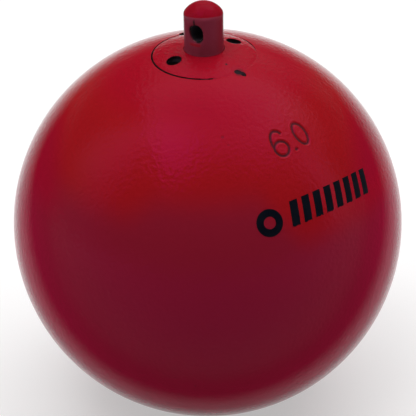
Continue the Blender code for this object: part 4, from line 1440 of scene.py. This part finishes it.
cut_thread(
    spindle, SHANK_RADIUS, SHANK_PITCH, -SHANK_GROOVE, SHANK_END + MM, SHANK_THREAD_HIGH, spindle_steel
)
settle(spindle, 40)

# %% [markdown]
# ## The pieces inside
# Bearing, seal, screws, nut and weight are hidden, but the swivel can be taken apart, so they're made as
# well. The turned ones are a section spun round the axis. Each of its corners is broken a little, as it
# would be on a lathe, because a broken edge catches a line of light.


# %% Spin a section
CORNER_STEPS = 3
TURNS = even_angles(144)


def softened(section, radius):
    """A closed section of (r, z) points whose corners are rounded. An arc's flat corners stay."""
    points = []
    for i, corner in enumerate(section):
        corner = Vector(corner)
        before = Vector(section[i - 1]) - corner
        after = Vector(section[(i + 1) % len(section)]) - corner
        if before.angle(-after) < math.radians(20):
            points.append(corner)
            continue
        reach = min(radius, 0.4 * before.length, 0.4 * after.length)
        start = corner + before.normalized() * reach
        end = corner + after.normalized() * reach
        for k in range(CORNER_STEPS + 1):
            share = k / CORNER_STEPS
            points.append(start * (1 - share) ** 2 + corner * 2 * share * (1 - share) + end * share**2)
    return points


def spun(name, section, material, tips=()):
    """A section spun round the axis. A solid piece has tips on the axis instead of a bore."""
    bm = bmesh.new()
    rows = [ring(r, z, TURNS) for r, z in section]
    if tips:
        ranks = knit(bm, rows)
        for rank, tip in zip((ranks[0], ranks[-1]), tips):
            close_with(bm, rank, (0, 0, tip))
    else:
        knit(bm, rows + rows[:1])
    return make_object(name, bm, (material,))


def block(inner, outer, low, high):
    """The four corners of a plain ring's section."""
    return [(inner, low), (outer, low), (outer, high), (inner, high)]


# %% Seal, bush and thrust washer
low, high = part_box("dust_seal")
thick = (high.z - low.z) / 2
middle = Vector((high.x - thick, (low.z + high.z) / 2))
seal = spun("rubber_seal", [middle + Vector(on_circle(thick, a)) for a in even_angles(28)], seal_rubber)

low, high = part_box("spindle_bush")
middle = (low.z + high.z) / 2
oil_groove = [(THROAT_RADIUS, middle + 0.8 * MM), (THROAT_RADIUS + 0.3 * MM, middle + 0.5 * MM)]
oil_groove += [(r, 2 * middle - z) for r, z in reversed(oil_groove)]
bush_section = block(THROAT_RADIUS, high.x, low.z, high.z) + oil_groove
bush = spun("bronze_bush", softened(bush_section, 0.2 * MM), bronze)

SHANK_BORE = SHANK_RADIUS + GAP
low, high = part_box("thrust_washer")
washer = spun("plain_washer", softened(block(SHANK_BORE, high.x, low.z, high.z), 0.22 * MM), zinc_steel)

# %% [markdown]
# The bearing is a thrust bearing: nine balls run between two grooved races. Groove, pitch circle and
# level follow from the balls' own places. The cage is turned as a plain ring, and a Geometry Nodes
# drill sinks one pocket per ball through it, with the same number and pitch circle.

# %% Races and balls
low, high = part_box("bearing_ball_1")
ROLLER_RADIUS = (high.z - low.z) / 2
ball_middle = (low + high) / 2
PITCH_RADIUS = ball_middle.xy.length
BALL_LEVEL = ball_middle.z
FIRST_BALL = math.atan2(ball_middle.y, ball_middle.x)
GROOVE_RADIUS = ROLLER_RADIUS + GAP
GROOVE_STEPS = 20


def race_section(face, back, outer):
    """A race with a round groove in its face."""
    rise = math.asin(abs(face - BALL_LEVEL) / GROOVE_RADIUS)
    side = 1 if face > BALL_LEVEL else -1
    groove = []
    for k in range(GROOVE_STEPS + 1):
        turn = math.pi - rise - (math.pi - 2 * rise) * k / GROOVE_STEPS
        across, along = on_circle(GROOVE_RADIUS, turn)
        groove.append((PITCH_RADIUS + across, BALL_LEVEL + side * along))
    section = [(SHANK_BORE, face), *groove, (outer, face), (outer, back), (SHANK_BORE, back)]
    return softened(section, 0.25 * MM)


low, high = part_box("upper_race")
upper_race = spun("grooved_race_above", race_section(low.z, high.z, high.x), bearing_steel)
low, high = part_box("lower_race")
lower_race = spun("grooved_race_below", race_section(high.z, low.z, high.x), bearing_steel)
BALL_COUNT = 9
rollers = []
for i in range(1, BALL_COUNT + 1):
    low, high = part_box(f"bearing_ball_{i}")
    round_ball = bmesh.new()
    place_there = Matrix.Translation((low + high) / 2)
    bmesh.ops.create_icosphere(round_ball, subdivisions=4, radius=ROLLER_RADIUS, matrix=place_there)
    rollers.append(make_object(f"rolling_steel_ball_{i}", round_ball, (bearing_steel,), 60))

# %% A drill for the cage's pockets
DRILL_SIDES, DRILL_LENGTH = 72, 8 * MM
driller, given, place = new_tool(
    "pocket_driller", Pockets="Int", Pitch_Radius="Float", Pocket_Radius="Float", First="Float",
    Level="Float", Finish="Material",
)
bench = driller
circle = {"Vertices": given["Pockets"], "Radius": given["Pitch Radius"]}
centres = {
    "Geometry": bench.node("GeometryNodeMeshCircle", circle).outputs[0],
    "Translation": bench.joined(0.0, 0.0, given["Level"]),
    "Rotation": bench.spin(given["First"]),
}
centres = bench.node("GeometryNodeTransform", centres).outputs[0]
drill = {"Vertices": DRILL_SIDES, "Radius": given["Pocket Radius"], "Depth": DRILL_LENGTH}
drill = bench.node("GeometryNodeMeshCylinder", drill).outputs["Mesh"]
end_tool(bench, bench.cut(given["Geometry"], bench.copies(centres, drill)), given["Finish"])

# %% Turn and drill the cage
low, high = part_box("ball_cage")
CAGE_BORE = PITCH_RADIUS - (high.x - PITCH_RADIUS)
cage = spun("drilled_cage", softened(block(CAGE_BORE, high.x, low.z, high.z), 0.2 * MM), cage_brass)
run_tool(
    cage, driller, Pockets=BALL_COUNT, Pitch_Radius=PITCH_RADIUS, Pocket_Radius=GROOVE_RADIUS,
    First=FIRST_BALL, Level=BALL_LEVEL, Finish=cage_brass,
)
settle(cage)

# %% [markdown]
# Screws and nut share two shapes: a hexagon, and a row of slots cut straight across. The hexagon is a
# ring whose radius follows the flats, so it can meet round rows above and below. The slots are cut by
# another Geometry Nodes tool, once for the filler plug's screwdriver slot and three times across the
# castle nut, which makes its six.


# %% Hexagons and slots
def hexagon(flat_radius, level, cone=math.inf, centre=(0, 0)):
    """A hexagonal row with flats towards X. A cone cuts its corners off at a radius."""
    points = []
    for a in TURNS:
        radius = flat_radius / math.cos((a + math.pi / 6) % (math.pi / 3) - math.pi / 6)
        x, y = on_circle(min(radius, cone), a)
        points.append((centre[0] + x, centre[1] + y, level))
    return points


slotter, given, place = new_tool(
    "slotter", Cuts="Int", Length="Float", Width="Float", Depth="Float", Level="Float", Finish="Material"
)
bench = slotter
twice = bench.math("MULTIPLY", given["Depth"], 2.0)
size = bench.joined(given["Length"], given["Width"], twice)
blade = bench.node("GeometryNodeMeshCube", {"Size": size}).outputs["Mesh"]
middle = bench.joined(0.0, 0.0, given["Level"])
stack = {"Count": given["Cuts"], "Start Location": middle, "Offset": (0, 0, 0)}
spots = bench.node("GeometryNodeMeshLine", stack).outputs[0]
number = bench.node("GeometryNodeInputIndex").outputs[0]
angle = bench.math("MULTIPLY", number, bench.math("DIVIDE", math.pi, given["Cuts"]))
blades = bench.copies(spots, blade, Rotation=bench.spin(angle))
end_tool(bench, bench.cut(given["Geometry"], blades, blades_cross=True), given["Finish"])

# %% Castle nut
low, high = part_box("castle_nut")
NUT_FLAT = high.x
NUT_BREAK = 0.4 * MM
CROWN_TOP = low.z + 4 * MM
CROWN_RADIUS = 7.6 * MM
crown_section = (
    (SHANK_BORE + NUT_BREAK, low.z),
    (CROWN_RADIUS - 0.3 * MM, low.z),
    (CROWN_RADIUS - 0.08 * MM, low.z + 0.1 * MM),
    (CROWN_RADIUS, low.z + 0.35 * MM),
    (CROWN_RADIUS, CROWN_TOP - 0.25 * MM),
    (CROWN_RADIUS + 0.2 * MM, CROWN_TOP),
)
nut_rows = [ring(r, z, TURNS) for r, z in crown_section]
corner_cut = [(7.75 * MM + k * 0.3 * MM, k * 0.16 * MM) for k in range(6)]
nut_rows += [hexagon(NUT_FLAT, CROWN_TOP + rise, cone) for cone, rise in corner_cut]
nut_rows += [hexagon(NUT_FLAT, high.z - rise, cone) for cone, rise in reversed(corner_cut)]
nut_rows.append(ring(SHANK_BORE + NUT_BREAK, high.z, TURNS))
bore_steps = round((high.z - low.z - 2 * NUT_BREAK) / THREAD_STEP)
for k in range(bore_steps + 1):
    nut_rows.append(ring(SHANK_BORE, high.z - NUT_BREAK - k * THREAD_STEP, TURNS))
nut_skin = bmesh.new()
knit(nut_skin, nut_rows + nut_rows[:1])
nut = make_object("slotted_nut", nut_skin, (zinc_steel,))
cut_thread(nut, SHANK_BORE, SHANK_PITCH, 0.3 * MM, low.z + 0.5 * MM, high.z - 0.5 * MM, zinc_steel)
run_tool(
    nut, slotter, Cuts=3, Length=24 * MM, Width=2.9 * MM, Depth=SLOT_DEPTH, Level=low.z, Finish=zinc_steel
)
settle(nut)

# %% Filler plug and lead
low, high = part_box("filler_plug")
FILLER_BREAK = 0.4 * MM
filler_section = [(high.x - FILLER_BREAK, low.z), (high.x, low.z + FILLER_BREAK)]
filler_section += [(high.x, low.z + FILLER_BREAK + k * THREAD_STEP) for k in range(1, 16)]
filler_section += [(high.x, high.z - FILLER_BREAK), (high.x - FILLER_BREAK, high.z)]
filler = spun("slotted_filler_plug", filler_section, zinc_steel, (low.z, high.z))
cut_thread(filler, high.x, PLUG_PITCH, -0.4 * MM, low.z, high.z, zinc_steel)
run_tool(
    filler, slotter, Cuts=1, Length=41 * MM, Width=2.46 * MM, Depth=1.57 * MM, Level=high.z,
    Finish=zinc_steel,
)
settle(filler)

low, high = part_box("lead_filling")
lead_section = [(high.x * k / 8, low.z + high.x * k / 8 * math.tan(DRILL_POINT)) for k in range(1, 9)]
lead_section.append((high.x, high.z - 0.15 * MM))
for k in range(24):
    r = high.x * (1 - k / 24) - 0.12 * MM
    sunk = 0.5 * (1 - (r / high.x) ** 2) + 0.05 * math.cos(r / (0.35 * MM))
    lead_section.append((r, high.z - 0.06 * MM - sunk * MM))
weight = spun("poured_lead", lead_section, lead, (low.z, high.z - 0.6 * MM))


# %% Lock screws
SCREW_PITCH, SCREW_GROOVE = 0.7 * MM, 0.25 * MM
SOCKET_FLAT = 0.95 * MM  # from the socket's middle to each of its six sides


def lock_screw(name, node):
    """A headless screw with a hexagon socket and a flat point."""
    low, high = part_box(node)
    centre = ((low.x + high.x) / 2, (low.y + high.y) / 2)
    radius = (high.x - low.x) / 2
    step = 0.1 * MM
    rows = [
        hexagon(SOCKET_FLAT, high.z - 2 * MM, centre=centre),
        hexagon(SOCKET_FLAT, high.z - 0.2 * MM, centre=centre),
        ring(1.2 * MM, high.z, TURNS, centre),
        ring(radius - 0.3 * MM, high.z, TURNS, centre),
    ]
    count = round((high.z - low.z - 0.6 * MM) / step)
    rows += [ring(radius, high.z - 0.3 * MM - k * step, TURNS, centre) for k in range(count + 1)]
    rows.append(ring(radius - 0.5 * MM, low.z, TURNS, centre))
    bm = bmesh.new()
    ranks = knit(bm, rows)
    close_with(bm, ranks[0], (*centre, high.z - 2.3 * MM))
    close_with(bm, ranks[-1], (*centre, low.z))
    screw = make_object(name, bm, (black_steel,))
    thread = (low.z + 0.2 * MM, high.z - 0.1 * MM)
    cut_thread(screw, radius, SCREW_PITCH, -SCREW_GROOVE, *thread, black_steel, centre)
    return settle(screw)


front_screw = lock_screw("front_grub_screw", "front_lock_screw")
rear_screw = lock_screw("rear_grub_screw", "rear_lock_screw")

# %% [markdown]
# ## Where everything goes
# Each piece rides on the body of the node that it stands for, so the swivel's parts turn together.

# %% Hand the main pieces over
hand_over(ball, "head", "red_iron", "head_ball")
hand_over(plug, "head", "red_steel", "housing_plug")
hand_over(spindle, "swivel", "spindle_steel", "spindle")
hand_over(seam_film, "head", "red_iron")
hand_over(hole_film, "head", "red_iron")
hand_over(printed, "head", "red_iron")

# %% Hand the inner pieces over
hand_over(seal, "head", "seal_rubber", "dust_seal")
hand_over(bush, "head", "bronze", "spindle_bush")
hand_over(upper_race, "head", "bearing_steel", "upper_race")
hand_over(front_screw, "head", "black_steel", "front_lock_screw")
hand_over(rear_screw, "head", "black_steel", "rear_lock_screw")
hand_over(filler, "head", "zinc_steel", "filler_plug")
hand_over(weight, "head", "lead", "lead_filling")
hand_over(lower_race, "swivel", "bearing_steel", "lower_race")
hand_over(washer, "swivel", "zinc_steel", "thrust_washer")
hand_over(nut, "swivel", "zinc_steel", "castle_nut")
hand_over(cage, "cage", "cage_brass", "ball_cage")
for i, roller in enumerate(rollers, 1):
    hand_over(roller, f"rolling_ball_{i}", "bearing_steel", f"bearing_ball_{i}")

# %% Dress the node that stays
# The split pin keeps its CAD shape, which is already a bent round wire.
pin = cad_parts["split_pin"]
pin.data.materials.clear()
pin.data.materials.append(zinc_steel)

# %% [markdown]
# ## Floor, light and camera
# The hammer lies on a pale matte floor in a tent of light. Glossy paint shows its surroundings, so the
# shape of the light matters as much as its strength: a panel overhead with two brighter spots, a wall at
# each side that grows paler with height, a screen behind, and a dim haze near the horizon. All of it is
# one world shader that reads the direction of a ray. The floor adds its own white for the camera and in
# reflections, so that the background is white, and it keeps the hammer's shadow. What the camera sees
# past the floor's edge is white too.

# %% The floor
FLOOR_SIZE = 3.0
FLOOR_PAPER = 0.6  # the share of the light that it gives back
FLOOR_GLOW = 0.44  # its own white
floor_mesh = bpy.data.meshes.new("floor")
half = FLOOR_SIZE / 2
corners = [(-half, -half), (half, -half), (half, half), (-half, half)]
floor_mesh.from_pydata([(x, y, -BALL_RADIUS) for x, y in corners], [], [(0, 1, 2, 3)])
new_object("floor", floor_mesh)

floor_material = bpy.data.materials.new("pale_floor")
floor_material.use_nodes = True
bench = Bench(floor_material.node_tree)
rays = bench.node("ShaderNodeLightPath").outputs
seen = bench.math("MAXIMUM", rays["Is Camera Ray"], rays["Is Transmission Ray"])
seen = bench.math("MAXIMUM", seen, rays["Is Glossy Ray"])
strength = bench.math("MULTIPLY", seen, FLOOR_GLOW)
matte = bench.node("ShaderNodeBsdfDiffuse", {"Color": (FLOOR_PAPER, FLOOR_PAPER, FLOOR_PAPER, 1)})
glow = bench.node("ShaderNodeEmission", {"Color": (1, 1, 1, 1), "Strength": strength})
both = bench.node("ShaderNodeAddShader", {0: matte.outputs[0], 1: glow.outputs[0]})
bench.tree.links.new(both.outputs[0], bench.tree.nodes["Material Output"].inputs["Surface"])
floor_mesh.materials.append(floor_material)
print(f"Floor {FLOOR_SIZE} m wide, {1000 * BALL_RADIUS:.1f} mm under the ball's centre")

# %% The directions of the light
world = bpy.data.worlds.new("studio")
world.use_nodes = True
bpy.context.scene.world = world
bench = Bench(world.node_tree)
way = bench.node("ShaderNodeTexCoord").outputs["Generated"]
x, y, z = bench.parts(way)
SHALLOWEST = 0.03  # keeps the divisions below away from nought
up = bench.math("MAXIMUM", z, SHALLOWEST)
u = bench.math("DIVIDE", x, up)  # where a ray meets a ceiling at height 1, sideways
v = bench.math("DIVIDE", y, up)  # and backwards
slant = bench.math("DIVIDE", y, bench.math("MAXIMUM", bench.math("ABSOLUTE", x), SHALLOWEST))


def span(value, start, end, soft):
    """1 between two values and 0 outside, with soft ends."""
    begun = bench.fade(value, start - soft, start + soft)
    return bench.product(begun, bench.fall(value, end - soft, end + soft))


def glow_towards(direction, inner, outer):
    """A round patch of light about a direction, full within one angle and gone at another."""
    near = bench.vector("DOT_PRODUCT", way, Vector(direction).normalized())
    return bench.fade(near, math.cos(math.radians(outer)), math.cos(math.radians(inner)))


# %% The panel overhead
PANEL_STRENGTH = 2.05
SPOTS = (  # direction, full within and gone at in degrees, strength
    ((-0.44, -0.25, 1.0), 8, 26, 2.0),
    ((0.5, 0.5, 1.0), 6, 24, 0.75),
)
panel = bench.product(
    bench.fade(v, -0.7, 0.0),
    bench.fall(v, 0.4, 1.25),
    bench.fade(u, 0.6, 0.95, 1.0, 0.5),
    bench.fall(u, 0.6, 2.4),
    bench.fade(z, SHALLOWEST, 0.1),
)
level = bench.math("MULTIPLY", panel, PANEL_STRENGTH)
for direction, inner, outer, strength in SPOTS:
    level = bench.math("MULTIPLY_ADD", glow_towards(direction, inner, outer), strength, level)
level = bench.math("MULTIPLY", level, bench.fade(u, -0.6, -0.5))
print("Nodes of the panel:", len(world.node_tree.nodes))

# %% The walls, the screen and the haze
above = bench.fade(z, -0.03, 0.06)
right_wall = bench.product(span(slant, -0.147, 0.091, 0.183), bench.fade(x, 0.0, 0.02, 0.0, 1.58), above)
left_wall = bench.product(
    span(slant, -0.339, 0.311, 0.261),
    bench.fall(x, -0.02, 0.0),
    bench.math("MULTIPLY_ADD", z, 1.925, 0.1),
    above,
)
sweep = bench.product(bench.fade(y, 0.2, 0.5), bench.fade(z, -0.06, 0.38, 0.44, 0.014))
screen = bench.product(
    bench.fade(y, 0.6, 0.8),
    bench.fade(u, -0.75, -0.4),
    bench.fade(u, 0.5, 1.4, 0.62, 0.2),
    bench.fall(z, 0.6, 0.75),
)
haze = bench.fade(z, -0.02, 0.14, 0.5, 0.024)
for wall in (right_wall, left_wall, sweep, screen, haze):
    level = bench.math("MAXIMUM", level, wall)
seen = bench.node("ShaderNodeLightPath").outputs["Is Camera Ray"]
sky = {"Color": (1, 1, 1, 1), "Strength": bench.math("MAXIMUM", level, seen)}
sky = bench.node("ShaderNodeBackground", sky).outputs[0]
bench.tree.links.new(sky, bench.tree.nodes["World Output"].inputs["Surface"])
print("Nodes in the studio's light:", len(world.node_tree.nodes))

# %% [markdown]
# ## The camera
# A long lens from a little over half a metre, looking down at about 32 degrees, gives the photograph's
# view. Small turns about the camera's own axes put the ball where it stands in the frame.

# %% Place the camera
CAMERA_DISTANCE = 0.575
CAMERA_ELEVATION = math.radians(31.627)
LENS, SENSOR = 167.03, 36
NEAREST = 0.01
YAW, PITCH, ROLL = 0.000296, 0.007285, -0.02123


def turned_pair(first, second, angle):
    """Two axes after a turn of the first towards the second."""
    cosine, sine = math.cos(angle), math.sin(angle)
    return first * cosine + second * sine, second * cosine - first * sine


position = CAMERA_DISTANCE * Vector((0, -math.cos(CAMERA_ELEVATION), math.sin(CAMERA_ELEVATION)))
forward = -position.normalized()
right = Vector((1, 0, 0))
upward = right.cross(forward)
forward, right = turned_pair(forward, right, YAW)
forward, upward = turned_pair(forward, upward, PITCH)
right, upward = turned_pair(right, upward, ROLL)
camera_data = bpy.data.cameras.new("camera")
camera_data.lens = LENS
camera_data.sensor_width = SENSOR
camera_data.clip_start = NEAREST
camera = new_object("camera", camera_data)
camera.matrix_world = Matrix(
    (
        (right.x, upward.x, -forward.x, position.x),
        (right.y, upward.y, -forward.y, position.y),
        (right.z, upward.z, -forward.z, position.z),
        (0, 0, 0, 1),
    )
)
bpy.context.scene.camera = camera
bpy.context.scene.view_settings.view_transform = "Standard"
print("Camera at", tuple(round(c, 4) for c in position))
